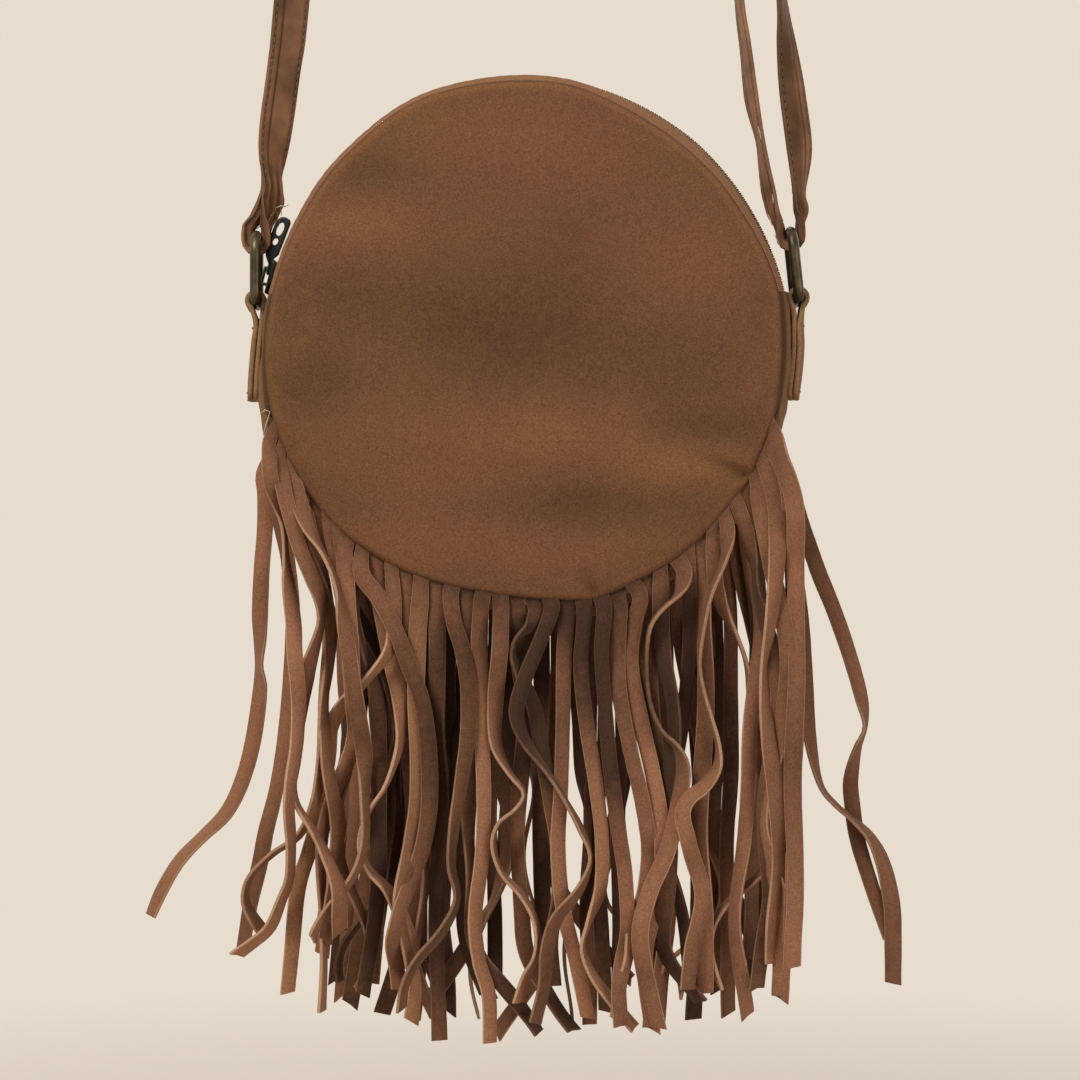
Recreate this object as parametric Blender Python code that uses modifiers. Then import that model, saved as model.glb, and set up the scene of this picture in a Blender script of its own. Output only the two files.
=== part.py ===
"""Fringed suede shoulder bag, hung by its strap.

The origin is the underside of the strap where it lies over a peg. +X is the
wearer-facing right of the front view, -Y is the front and +Z is up. Inside the
bag, angles go counter-clockwise from +X as seen from the front, so 90 degrees
is the top of the zip and 270 degrees the lowest point of the seam.
"""
import math
import random

import bmesh
import bpy
import numpy as np
from mathutils import Vector

MM = 0.001

# Driving dimensions of the bag
PANEL_RADIUS = 94.5 * MM
BAG_DEPTH = 36.0 * MM
PANEL_DOME = 5.0 * MM
SUEDE = 1.4 * MM
LINING = 0.4 * MM
SEAM_GAP = 0.3 * MM
GUSSET_BULGE = 6.2 * MM
ZIP_RISE = 4.0 * MM

# Where the zip ends and the gusset takes over, in degrees
ZIP_LEFT = 170.0
ZIP_RIGHT = 10.0

# How far round from the left side the closed slider rests
SLIDER_FROM_SIDE = 25.0 * MM

# Zip
TAPE_SET_IN = 2.2 * MM
TAPE_THICKNESS = 0.7 * MM
TAPE_GAP = 0.5 * MM
FACING_LAP = 1.6 * MM
CHAIN_FLAT = 5.5 * MM
CHAIN_HALF_GAP = 0.45 * MM
COIL_WIDTH = 2.65 * MM
COIL_HEIGHT = 1.6 * MM
SLIDER_LENGTH = 13.0 * MM
SLIDER_WIDTH = 9.2 * MM
SLIDER_REAR_WIDTH = 7.4 * MM
SLIDER_PLATE = 0.9 * MM
SLIDER_WEB = 0.4 * MM
SLIDER_PLAY = 0.3 * MM
BRIDGE_OPENING = 2.0 * MM
BRIDGE_BAR = 1.0 * MM
BRIDGE_REACH = 3.0 * MM
PULL_LENGTH = 20.0 * MM
PULL_WIDTH = 4.4 * MM
PULL_THICKNESS = 1.6 * MM
PULL_EYE_WIRE = 0.62 * MM

# Rings, tabs and strap
RING_WIRE = 2.0 * MM
RING_LENGTH = 24.5 * MM
RING_HALF_WIDTH = 12.0 * MM
RING_FOOT_CORNER = 2.7 * MM
RING_BOW_CORNER = 7.5 * MM
RING_BAR_Z = 15.5 * MM
TAB_WIDTH = 17.6 * MM
TAB_DROP = 21.5 * MM
STRAP_THICKNESS = 1.8 * MM
STRAP_WIDTH = 14.0 * MM
STRAP_GATHER = 8.6 * MM
STRAP_DROP = 586.0 * MM
PEG_RADIUS = 10.0 * MM
PEG_FLAT = 12.0 * MM

# Where the straight strand starts beside the right ring: inwards and up from its bow
STRAND_START_IN = 6.0 * MM
STRAND_START_UP = 86.0 * MM

# Adjuster slide
ADJUSTER_UP = 230.0 * MM
ADJUSTER_WIRE = 1.1 * MM
ADJUSTER_HALF_WIDTH = 9.2 * MM
ADJUSTER_HALF_HEIGHT = 7.5 * MM
STRAP_END_THICKNESS = 1.5 * MM

# Fringe
FRINGE_START = 197.0
FRINGE_END = 343.0
RIBBONS = 40
RIBBON_WIDTH = 5.5 * MM
RIBBON_THICKNESS = 1.2 * MM
RIBBON_SLIT = 0.4 * MM
HEADER_INSIDE = 2.5 * MM
HEADER_OUTSIDE = 2.0 * MM
RIBBON_LEVEL = 30.0 * MM
LONGEST_RIBBON = 200.0 * MM
RIBBON_CLEARANCE = 0.5 * MM

# How the seam of the soft bag strays from a circle: angle, height, spread
SOFT_CORNERS = ((34.0, -3.2 * MM, 12.0), (57.0, -3.6 * MM, 13.0), (115.0, 1.3 * MM, 10.0),
                (155.0, -1.8 * MM, 12.0), (218.0, 3.4 * MM, 22.0), (260.0, -1.0 * MM, 9.0),
                (285.8, 4.0 * MM, 7.0), (303.0, 3.2 * MM, 14.0), (328.3, 2.2 * MM, 6.0),
                (340.0, 1.2 * MM, 8.0))

# Worked out from the sizes above
HALF_DEPTH = BAG_DEPTH / 2
ZIP_RADIUS = PANEL_RADIUS + ZIP_RISE
ZIP_SLIDER_AT = 180.0 - math.degrees(SLIDER_FROM_SIDE / ZIP_RADIUS)
TAPE_HALF_WIDTH = HALF_DEPTH - TAPE_SET_IN
FACING_INSET = TAPE_HALF_WIDTH - FACING_LAP
BOW_Z = RING_BAR_Z + RING_LENGTH
BAG_Z = -(STRAP_DROP + BOW_Z)
BOW_WORLD_Z = -STRAP_DROP
LOOP_RADIUS = RING_WIRE + SEAM_GAP + STRAP_THICKNESS / 2
RING_X = math.sqrt(ZIP_RADIUS ** 2 - RING_BAR_Z ** 2) + SEAM_GAP + STRAP_THICKNESS / 2 + LOOP_RADIUS

COLLECTION_NAME = "fringed_suede_bag"


# Scene, materials and mesh helpers

def clear_scene():
    for old in list(bpy.data.objects):
        bpy.data.objects.remove(old, do_unlink=True)


def new_collection(name):
    collection = bpy.data.collections.new(name)
    bpy.context.scene.collection.children.link(collection)
    return collection


def make_material(name, colour, roughness, metallic=0.0):
    made = bpy.data.materials.new(name)
    made.use_nodes = True
    shader = made.node_tree.nodes["Principled BSDF"]
    shader.inputs["Base Color"].default_value = (*colour, 1.0)
    shader.inputs["Roughness"].default_value = roughness
    shader.inputs["Metallic"].default_value = metallic
    return made


def add_object(name, bm, material, parent=None, smooth=True):
    """Turn a bmesh into an object whose origin is its parent's."""
    bmesh.ops.recalc_face_normals(bm, faces=bm.faces)
    mesh = bpy.data.meshes.new(name)
    bm.to_mesh(mesh)
    bm.free()
    mesh.materials.append(material)
    if smooth:
        mesh.shade_smooth()
        mesh.set_sharp_from_angle(angle=math.radians(40))
    made = bpy.data.objects.new(name, mesh)
    parts.objects.link(made)
    made.parent = parent
    return made


def add_empty(name, location, parent=None):
    made = bpy.data.objects.new(name, None)
    parts.objects.link(made)
    made.empty_display_size = 0.02
    made.parent = parent
    made.location = location
    return made


def bridge(bm, ring_a, ring_b):
    """Join two rings of as many vertices with quads."""
    count = len(ring_a)
    for k in range(count):
        after = (k + 1) % count
        bm.faces.new((ring_a[k], ring_a[after], ring_b[after], ring_b[k]))


def loft(rings):
    """A closed solid through rings of points, with flat ends."""
    bm = bmesh.new()
    made = [[bm.verts.new(point) for point in ring] for ring in rings]
    for ring_a, ring_b in zip(made, made[1:]):
        bridge(bm, ring_a, ring_b)
    bm.faces.new(made[0])
    bm.faces.new(reversed(made[-1]))
    return bm


def open_grid(rows):
    """An open surface through rows of points."""
    bm = bmesh.new()
    made = [[bm.verts.new(point) for point in row] for row in rows]
    for row_a, row_b in zip(made, made[1:]):
        for k in range(len(row_a) - 1):
            bm.faces.new((row_a[k], row_a[k + 1], row_b[k + 1], row_b[k]))
    return bm


def add_thickness(target, thickness):
    """Give an open surface its thickness behind its outward face."""
    shell = target.modifiers.new("thickness", "SOLIDIFY")
    shell.thickness = thickness
    shell.offset = -1.0
    shell.use_even_offset = False


def join_solids(target, others):
    """Union other objects into the target and apply it."""
    for other in others:
        union = target.modifiers.new("union", "BOOLEAN")
        union.operation = "UNION"
        union.solver = "EXACT"
        union.object = other
    bpy.context.view_layer.update()
    evaluated = target.evaluated_get(bpy.context.evaluated_depsgraph_get())
    joined = bpy.data.meshes.new_from_object(evaluated)
    target.modifiers.clear()
    target.data = joined
    for other in others:
        bpy.data.objects.remove(other, do_unlink=True)


def wire_from_points(name, points, radius, material, cyclic, parent=None, sides=2):
    """A round wire along points, made a mesh with its caps welded."""
    curve = bpy.data.curves.new(name, "CURVE")
    curve.dimensions = "3D"
    curve.resolution_u = 1
    curve.bevel_depth = radius
    curve.bevel_resolution = sides
    curve.use_fill_caps = not cyclic
    spline = curve.splines.new("POLY")
    spline.points.add(len(points) - 1)
    for spot, point in zip(spline.points, points):
        spot.co = (*point, 1.0)
    spline.use_cyclic_u = cyclic
    guide = bpy.data.objects.new(name + "_curve", curve)
    parts.objects.link(guide)
    bpy.context.view_layer.update()
    evaluated = guide.evaluated_get(bpy.context.evaluated_depsgraph_get())
    mesh = bpy.data.meshes.new_from_object(evaluated)
    bpy.data.objects.remove(guide, do_unlink=True)
    bm = bmesh.new()
    bm.from_mesh(mesh)
    bmesh.ops.remove_doubles(bm, verts=bm.verts, dist=0.00001)
    return add_object(name, bm, material, parent)


def smoothstep(low, high, value):
    share = min(max((value - low) / (high - low), 0.0), 1.0)
    return share * share * (3.0 - 2.0 * share)


def polar(radius, degrees, y):
    angle = math.radians(degrees)
    return (radius * math.cos(angle), y, radius * math.sin(angle))


# The bag's own outline

def seam_radius(degrees):
    """Radius of the panel seam, with its soft corners."""
    radius = PANEL_RADIUS
    for at, height, spread in SOFT_CORNERS:
        away = (degrees - at + 180.0) % 360.0 - 180.0
        radius += height * math.exp(-(away / spread) ** 2)
    return radius


def bulge(degrees):
    """How far the ridge stands past the seams; along the zip it keeps to a circle."""
    from_top = abs((degrees - 90.0 + 180.0) % 360.0 - 180.0)
    low = smoothstep(80.0, 115.0, from_top)
    along_zip = ZIP_RADIUS - seam_radius(degrees)
    return along_zip * (1.0 - low) + GUSSET_BULGE * low


def shell_radius(degrees, y):
    """Outer face of the gusset and of the zip facings."""
    share = 1.0 - (y / HALF_DEPTH) ** 2
    return seam_radius(degrees) + bulge(degrees) * max(share, 0.0)


def spread_angles(start, end, count):
    return [start + (end - start) * k / count for k in range(count + 1)]


# Panels and linings

def add_panel(name, side, radius_cut, inset, thickness, material, around=36,
              shares=(0.4, 0.7, 0.9, 1.0)):
    """A domed disc; side is -1 at the front and +1 at the back."""
    rows = []
    for degrees in spread_angles(0.0, 360.0, around)[:-1]:
        rim = seam_radius(degrees) - radius_cut
        row = []
        for share in shares:
            height = PANEL_DOME * (1.0 - share ** 4)
            row.append(polar(rim * share, degrees, side * (HALF_DEPTH + SUEDE - inset + height)))
        rows.append(row)
    bm = bmesh.new()
    middle = bm.verts.new((0.0, side * (HALF_DEPTH + SUEDE - inset + PANEL_DOME), 0.0))
    made = [[bm.verts.new(point) for point in row] for row in rows]
    for k, row in enumerate(made):
        after = made[(k + 1) % len(made)]
        bm.faces.new((middle, row[0], after[0]) if side < 0 else (middle, after[0], row[0]))
        for j in range(len(row) - 1):
            quad = (row[j], row[j + 1], after[j + 1], after[j])
            bm.faces.new(quad if side < 0 else quad[::-1])
    panel = add_open_surface(name, bm, material)
    add_thickness(panel, thickness)
    return panel


def add_open_surface(name, bm, material):
    """An open surface whose faces already point outwards."""
    mesh = bpy.data.meshes.new(name)
    bm.to_mesh(mesh)
    bm.free()
    mesh.materials.append(material)
    mesh.shade_smooth()
    made = bpy.data.objects.new(name, mesh)
    parts.objects.link(made)
    made.parent = bag_middle
    return made


def band_rows(angles, ys_at, radius_at):
    """Rows of points round the bag, one for each angle."""
    return [[polar(radius_at(degrees, y), degrees, y) for y in ys_at(degrees)]
            for degrees in angles]


def add_band(name, angles, ys_at, radius_at, thickness, material):
    bm = open_grid(band_rows(angles, ys_at, radius_at))
    band = add_open_surface(name, bm, material)
    add_thickness(band, thickness)
    return band


def header_y():
    """Middle of the fringe header in the seam, as a distance from the bag's middle."""
    return HALF_DEPTH - SEAM_GAP - RIBBON_THICKNESS / 2


def gusset_ys(degrees):
    """The gusset's edge leaves room for the fringe header where there is one."""
    beside_fringe = FRINGE_START - 1.0 < degrees < FRINGE_END + 1.0
    edge = HALF_DEPTH - SEAM_GAP - (RIBBON_THICKNESS + SEAM_GAP) * beside_fringe
    return (-edge, -edge * 0.6, 0.0, edge * 0.6, edge)


def add_gusset():
    angles = spread_angles(ZIP_LEFT, FRINGE_START - 2.5, 5)
    angles += spread_angles(FRINGE_START - 0.8, FRINGE_END + 0.8, 18)
    angles += spread_angles(FRINGE_END + 2.5, 360.0 + ZIP_RIGHT, 5)
    add_band("gusset", angles, gusset_ys, shell_radius, SUEDE, suede)


def add_zip_side(side, word):
    """Facing, tape and coil on one side of the zip."""
    end_gap = math.degrees(SEAM_GAP / PANEL_RADIUS)
    angles = spread_angles(ZIP_RIGHT + end_gap, ZIP_LEFT - end_gap, 21)
    outer = HALF_DEPTH - SEAM_GAP
    facing_y = [side * outer, side * TAPE_HALF_WIDTH, side * FACING_INSET]
    facing_y.sort()
    add_band("zip_facing_" + word, angles, lambda _: facing_y, shell_radius, SUEDE, suede)

    def tape_top(degrees, y):
        """Under the facing, whose inner face lies deeper where the shell slopes."""
        out = max(abs(y), CHAIN_FLAT)
        slope = bulge(degrees) * 2.0 * out / HALF_DEPTH ** 2
        return shell_radius(degrees, out) - SUEDE * math.hypot(1.0, slope) - TAPE_GAP

    tape_y = sorted((side * TAPE_HALF_WIDTH, side * CHAIN_FLAT, side * CHAIN_HALF_GAP))
    add_band("zip_tape_" + word, angles, lambda _: tape_y, tape_top, TAPE_THICKNESS, tape_cloth)

    inner_y = side * CHAIN_HALF_GAP
    outer_y = side * (CHAIN_HALF_GAP + COIL_WIDTH)
    rings = []
    for degrees in angles:
        low = tape_top(degrees, 0.0) + SEAM_GAP
        high = low + COIL_HEIGHT
        section = ((low, inner_y), (high - COIL_HEIGHT * 0.25, inner_y),
                   (high, (inner_y + outer_y) / 2),
                   (high - COIL_HEIGHT * 0.25, outer_y), (low, outer_y))
        rings.append([polar(radius, degrees, y) for radius, y in section])
    add_object("zip_coil_" + word, loft(rings), coil_nylon, bag_middle)


def add_linings():
    inset = SUEDE + SEAM_GAP
    cut = HEADER_INSIDE + 0.7 * MM
    rings = (0.5, 0.85, 1.0)
    add_panel("lining_front", -1, cut, inset, LINING, lining_cloth, 20, rings)
    add_panel("lining_back", 1, cut, inset, LINING, lining_cloth, 20, rings)
    edge = header_y() - RIBBON_THICKNESS / 2 - 2 * SEAM_GAP
    ys = (-edge, 0.0, edge)

    def radius_at(degrees, y):
        return shell_radius(degrees, y * 1.04) - SUEDE - 2.5 * SEAM_GAP

    angles = spread_angles(ZIP_LEFT + 6.0, 354.0 + ZIP_RIGHT, 18)
    add_band("lining_gusset", angles, lambda _: ys, radius_at, LINING, lining_cloth)


# Zip slider and pull

def tape_inner_radius():
    """Inside of the zip tape where it lies deepest."""
    deepest = max(bulge(degrees) for degrees in range(int(ZIP_RIGHT), int(ZIP_LEFT)))
    sunk = deepest * (CHAIN_FLAT / HALF_DEPTH) ** 2
    return ZIP_RADIUS - sunk - SUEDE - TAPE_GAP - TAPE_THICKNESS


def coil_top_radius():
    return ZIP_RADIUS - SUEDE + COIL_HEIGHT


def add_box(name, size, centre, material, parent, corner=0.0):
    bpy.ops.mesh.primitive_cube_add(size=1.0, location=(0, 0, 0))
    made = bpy.context.active_object
    made.name = name
    for vert in made.data.vertices:
        vert.co = Vector([vert.co[k] * size[k] + centre[k] for k in range(3)])
    for owner in list(made.users_collection):
        owner.objects.unlink(made)
    parts.objects.link(made)
    made.data.materials.append(material)
    made.parent = parent
    if corner:
        soft = made.modifiers.new("corners", "BEVEL")
        soft.width = corner
        soft.segments = 1
        soft.limit_method = "ANGLE"
    return made


def slider_levels():
    """Heights of the slider's plates and bridge, from the bag's middle."""
    sag = (SLIDER_LENGTH / 2) ** 2 / (2 * tape_inner_radius())
    low_top = tape_inner_radius() - SLIDER_PLAY - sag
    high_bottom = coil_top_radius() + SLIDER_PLAY
    high_top = high_bottom + SLIDER_PLATE
    return low_top, high_bottom, high_top


def add_slider():
    """Built as if at the top of the bag, then turned to its place."""
    low_top, high_bottom, high_top = slider_levels()
    body = add_box("zip_slider", (SLIDER_LENGTH, SLIDER_WIDTH, SLIDER_PLATE),
                   (0, 0, high_bottom + SLIDER_PLATE / 2), slider_metal, None, 0.35 * MM)
    lower = add_box("lower_plate", (SLIDER_LENGTH, SLIDER_WIDTH, SLIDER_PLATE),
                    (0, 0, low_top - SLIDER_PLATE / 2), slider_metal, None, 0.35 * MM)
    for plate in (body, lower):
        for vert in plate.data.vertices:
            if vert.co.x > 0:
                vert.co.y *= SLIDER_REAR_WIDTH / SLIDER_WIDTH
    overlap = SLIDER_PLATE / 2
    web_height = high_bottom - low_top + 2 * overlap
    web = add_box("web", (SLIDER_LENGTH * 0.36, SLIDER_WEB, web_height),
                  (-SLIDER_LENGTH * 0.3, 0, low_top - overlap + web_height / 2), slider_metal, None)
    reach = BRIDGE_REACH
    leg_height = BRIDGE_OPENING + BRIDGE_BAR + overlap
    leg_z = high_top - overlap + leg_height / 2
    rear = add_box("rear_leg", (1.1 * MM, 1.4 * MM, leg_height), (reach, 0, leg_z), slider_metal, None)
    nose = add_box("nose_leg", (1.1 * MM, 1.4 * MM, leg_height), (-reach, 0, leg_z), slider_metal, None)
    bar = add_box("bridge_bar", (2 * reach + 1.1 * MM, 1.4 * MM, BRIDGE_BAR),
                  (0, 0, high_top + BRIDGE_OPENING + BRIDGE_BAR / 2), slider_metal, None)
    join_solids(body, [lower, web, rear, nose, bar])
    body.parent = bag_middle
    body.rotation_euler = (0, math.radians(90.0 - ZIP_SLIDER_AT), 0)
    return body


def add_pull():
    """The eye lies round the bridge's rear leg; the loop stands on edge."""
    pivot_z = slider_levels()[2] + BRIDGE_OPENING / 2
    pivot = add_empty("zip_pull_pivot", (0, 0, 0), bag_middle)
    turn = math.radians(90.0 - ZIP_SLIDER_AT)
    pivot.rotation_euler = (0, turn, 0)
    pivot.location = (BRIDGE_REACH * math.cos(turn) + pivot_z * math.sin(turn), 0,
                      pivot_z * math.cos(turn) - BRIDGE_REACH * math.sin(turn))
    eye_radius = 1.3 * MM + PULL_EYE_WIRE
    bpy.ops.mesh.primitive_torus_add(major_radius=eye_radius, minor_radius=PULL_EYE_WIRE,
                                     major_segments=14, minor_segments=6)
    eye = bpy.context.active_object
    for owner in list(eye.users_collection):
        owner.objects.unlink(eye)
    parts.objects.link(eye)
    eye.name = "zip_pull"
    eye.data.materials.append(pull_metal)

    def coil_below(x):
        """Height of the zip coil under the pull, from its pivot."""
        along = x + BRIDGE_REACH
        return math.sqrt((coil_top_radius() + SEAM_GAP) ** 2 - along ** 2) - pivot_z

    neck = eye_radius - PULL_EYE_WIRE * 0.2
    plate_end = SLIDER_LENGTH / 2 - BRIDGE_REACH + 0.5 * MM
    wide = plate_end + 1.8 * MM
    tip = PULL_LENGTH
    low_wide = coil_below(wide) + 0.2 * MM
    low_tip = coil_below(tip) + 0.9 * MM
    outline = [(neck, -0.6 * MM), (plate_end, -0.6 * MM), (wide, low_wide),
               (tip - 1.2 * MM, low_tip + 0.1 * MM), (tip, low_tip + 1.0 * MM),
               (tip, low_tip + PULL_WIDTH - 1.0 * MM), (tip - 1.2 * MM, low_tip + PULL_WIDTH),
               (wide + 1.0 * MM, low_wide + PULL_WIDTH), (plate_end, 1.6 * MM), (neck, 0.6 * MM)]
    slope = (low_tip - low_wide) / (tip - wide)

    def window(centre, length, width, points=8):
        middle = low_wide + (centre - wide) * slope + PULL_WIDTH / 2
        return [(centre + length / 2 * math.cos(2 * math.pi * k / points),
                 middle + slope * length / 2 * math.cos(2 * math.pi * k / points)
                 + width / 2 * math.sin(2 * math.pi * k / points)) for k in range(points)]

    windows = [window(tip - 4.6 * MM, 5.0 * MM, 2.2 * MM), window(tip - 9.6 * MM, 2.2 * MM, 1.7 * MM)]
    curve = bpy.data.curves.new("pull_outline", "CURVE")
    curve.dimensions = "2D"
    curve.fill_mode = "BOTH"
    curve.extrude = PULL_THICKNESS / 2
    for loop in [outline] + windows:
        spline = curve.splines.new("POLY")
        spline.points.add(len(loop) - 1)
        for spot, (x, z) in zip(spline.points, loop):
            spot.co = (x, z, 0.0, 1.0)
        spline.use_cyclic_u = True
    guide = bpy.data.objects.new("pull_guide", curve)
    parts.objects.link(guide)
    guide.rotation_euler = (math.radians(90), 0, 0)
    bpy.context.view_layer.update()
    evaluated = guide.evaluated_get(bpy.context.evaluated_depsgraph_get())
    flat = bpy.data.meshes.new_from_object(evaluated)
    flat.transform(guide.matrix_world)
    bpy.data.objects.remove(guide, do_unlink=True)
    bm = bmesh.new()
    bm.from_mesh(flat)
    bmesh.ops.remove_doubles(bm, verts=bm.verts, dist=0.00001)
    plate = add_object("pull_plate", bm, pull_metal, None, False)
    join_solids(eye, [plate])
    eye.parent = pivot
    return eye


# Rings and their tabs

def arc_points(centre, radius, start, end, count):
    """Points on an arc in a plane, as pairs."""
    return [(centre[0] + radius * math.cos(math.radians(start + (end - start) * k / count)),
             centre[1] + radius * math.sin(math.radians(start + (end - start) * k / count)))
            for k in range(count + 1)]


def ring_outline():
    """The D ring's wire in its own plane, from the middle of its foot bar."""
    foot = RING_HALF_WIDTH - RING_FOOT_CORNER
    bow = RING_HALF_WIDTH - RING_BOW_CORNER
    top = RING_LENGTH - RING_BOW_CORNER
    points = []
    points += arc_points((foot, RING_FOOT_CORNER), RING_FOOT_CORNER, -90, 0, 4)
    points += arc_points((bow, top), RING_BOW_CORNER, 0, 90, 6)
    points += arc_points((-bow, top), RING_BOW_CORNER, 90, 180, 6)
    points += arc_points((-foot, RING_FOOT_CORNER), RING_FOOT_CORNER, 180, 270, 4)
    return points


def add_rings():
    flat = ring_outline()
    left_pivot = add_empty("left_ring_pivot", (-RING_X, 0, BOW_WORLD_Z))
    wire_from_points("left_ring", [(0, y, z - RING_LENGTH) for y, z in flat],
                     RING_WIRE, brass, True, left_pivot)
    right_pivot = add_empty("right_ring_pivot", (RING_X, 0, RING_BAR_Z), bag_middle)
    wire_from_points("right_ring", [(0, y, z) for y, z in flat],
                     RING_WIRE, brass, True, right_pivot)


def tab_path(side):
    """Middle line of a folded tab in the XZ plane; side is +1 at the right."""
    rest = SEAM_GAP + STRAP_THICKNESS / 2
    layer = STRAP_THICKNESS + SEAM_GAP
    inner = []
    for z in (-TAB_DROP, -TAB_DROP * 0.5, 0.0, RING_BAR_Z * 0.45):
        degrees = math.degrees(math.asin(z / (PANEL_RADIUS + GUSSET_BULGE)))
        ridge = shell_radius(degrees if side > 0 else 180.0 - degrees, 0.0)
        inner.append((math.sqrt(ridge ** 2 - z ** 2) + rest, z))
    loop = arc_points((RING_X, RING_BAR_Z), LOOP_RADIUS, 180, -60, 12)
    outer = [(x + layer, z) for x, z in reversed(inner)]
    return [(side * x, z) for x, z in inner + loop + outer]


def ribbon_rings(points, width, thickness):
    """Flat strip sections along a path in the XZ plane, wide along Y."""
    rings = []
    for k, (x, z) in enumerate(points):
        before = points[max(k - 1, 0)]
        after = points[min(k + 1, len(points) - 1)]
        along = Vector((after[0] - before[0], after[1] - before[1])).normalized()
        side = Vector((-along.y, along.x)) * thickness / 2
        rings.append([(x + side.x, -width / 2, z + side.y), (x + side.x, width / 2, z + side.y),
                      (x - side.x, width / 2, z - side.y), (x - side.x, -width / 2, z - side.y)])
    return rings


def add_tabs():
    for name, side in (("left_tab", -1), ("right_tab", 1)):
        sections = ribbon_rings(tab_path(side), TAB_WIDTH, STRAP_THICKNESS)
        add_object(name, loft(sections), suede, bag_middle)


# Strap

def strip_loft(stations):
    """A flat strip through stations of point, width direction, width and thickness."""
    rings = []
    count = len(stations)
    for k, (point, across, width, thickness) in enumerate(stations):
        before = Vector(stations[max(k - 1, 0)][0])
        after = Vector(stations[min(k + 1, count - 1)][0])
        along = (after - before).normalized()
        across = Vector(across)
        across = (across - along * across.dot(along)).normalized()
        normal = along.cross(across)
        wide = across * width / 2
        thick = normal * thickness / 2
        here = Vector(point)
        rings.append([here + wide + thick, here - wide + thick,
                      here - wide - thick, here + wide - thick])
    return loft(rings)


def turned(degrees):
    """Width direction of a strap turned from front-to-back towards the side."""
    angle = math.radians(degrees)
    return (math.sin(angle), math.cos(angle), 0.0)


def peg_tangent():
    """Where the straight strands leave the curve over the peg, and their lean."""
    centre = Vector((PEG_FLAT / 2, -PEG_RADIUS))
    start = Vector((RING_X - STRAND_START_IN, BOW_WORLD_Z + STRAND_START_UP))
    reach = PEG_RADIUS + STRAP_THICKNESS / 2
    gap = start - centre
    distance = gap.length
    angle = math.atan2(gap.y, gap.x) + math.acos(reach / distance)
    return centre, reach, start, math.degrees(angle)


def over_peg():
    """Points over the peg from the right strand to the left one."""
    centre, reach, _, angle = peg_tangent()
    right = arc_points((centre.x, centre.y), reach, angle, 90.0, 6)
    return right + [(-x, z) for x, z in reversed(right)]


# Strap stations near the rings, in mm and degrees from the ring's bow:
# sideways, back, up, turn of the strap and its width, where 14 is the full width
STATION_WIDTH = 14.0
LEFT_LAP = ((7.7, 1.8, 38.0, 57, 14.0), (6.8, 1.6, 30.2, 48, 13.4), (5.4, 1.3, 19.0, 37, 11.6),
            (2.2, 0.3, 11.5, 12, 10.2), (-3.2, 0.0, 4.0, 0, 9.0))
LEFT_STRAND = ((3.6, 0.0, 4.0, 0, 9.0), (5.6, 0.0, 11.5, 12, 10.4), (7.1, 0.0, 19.0, 37, 11.6),
               (8.2, 0.0, 30.2, 48, 13.6), (8.8, 0.0, 39.5, 58, 14.0), (12.0, 0.0, 63.8, 66, 14.0),
               (15.2, 0.0, 86.0, 78, 14.0))
RIGHT_OUTER = ((2.8, 0.0, 6.0, 0, 9.4), (2.3, 0.0, 14.0, 16, 12.0), (2.4, 0.0, 30.0, 34, 14.0),
               (0.3, 0.0, 48.0, 36, 14.0), (-2.6, 0.0, 67.0, 22, 14.0), (-6.0, 0.0, 86.0, 10, 14.0))
RIGHT_INNER = ((-5.2, 0.0, 3.6, 0, 9.4), (-8.3, 0.0, 13.0, -10, 12.0), (-11.2, 0.0, 26.0, -12, 13.6))
RETURN_STRAND = ((-13.0, 0.0, 34.0, -4, 14.0), (-16.2, 0.0, 49.0, 18, 14.0), (-19.0, 0.0, 67.0, 14, 14.0),
                 (-21.4, 0.0, 86.0, 8, 14.0), (-24.8, 0.0, 125.0, 2, 14.0), (-28.2, 0.0, 165.0, 0, 14.0))


def near_ring(rows, side):
    """Stations from a list written from the bow of one ring, side +1 at the right."""
    made = []
    for x, y, z, turn, width in rows:
        point = (side * RING_X + x * MM, y * MM, BOW_WORLD_Z + z * MM)
        made.append((point, turned(turn), width / STATION_WIDTH * STRAP_WIDTH, STRAP_THICKNESS))
    return made


def loop_stations(side, start, end, count=10):
    """Stations of the gathered strap round the bow of one ring."""
    circle = arc_points((side * RING_X, BOW_WORLD_Z), LOOP_RADIUS, start, end, count)
    return [((x, 0.0, z), turned(0), STRAP_GATHER, STRAP_THICKNESS) for x, z in circle]


def strand_line():
    """The straight running strand: a point on it, its direction up and its outward side."""
    _, _, start, _ = peg_tangent()
    right = over_peg()[0]
    base = Vector((start.x, 0.0, start.y))
    top = Vector((right[0], 0.0, right[1]))
    along = (top - base).normalized()
    outward = Vector((along.z, 0.0, -along.x))
    return base, top, along, outward


def add_strap():
    """Lap, left loop, left strand, over the peg, right strand, right loop and end."""
    left = near_ring(LEFT_LAP, -1)
    loop = loop_stations(-1, 155, 385)
    strand = near_ring(LEFT_STRAND, -1)
    base, top, along, _ = strand_line()
    up_left = []
    for share, turn in ((0.2, 90), (0.4, 90), (0.55, 80), (0.7, 50), (0.85, 18), (0.95, 3)):
        spot = base.lerp(top, share)
        up_left.append(((-spot.x, 0.0, spot.z), turned(turn), STRAP_WIDTH, STRAP_THICKNESS))
    over = [((x, 0.0, z), turned(0), STRAP_WIDTH, STRAP_THICKNESS) for x, z in reversed(over_peg())]
    down = []
    for share in (0.95, 0.6, 0.25, 0.08):
        spot = base.lerp(top, share)
        down.append((tuple(spot), turned(0), STRAP_WIDTH, STRAP_THICKNESS))
    outer = list(reversed(near_ring(RIGHT_OUTER, 1)))
    hook = loop_stations(1, 20, -200)
    inner = near_ring(RIGHT_INNER, 1)
    stations = left + loop + strand + up_left + over + down + outer + hook + inner
    add_object("strap", strip_loft(stations), strap_leather)


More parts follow.
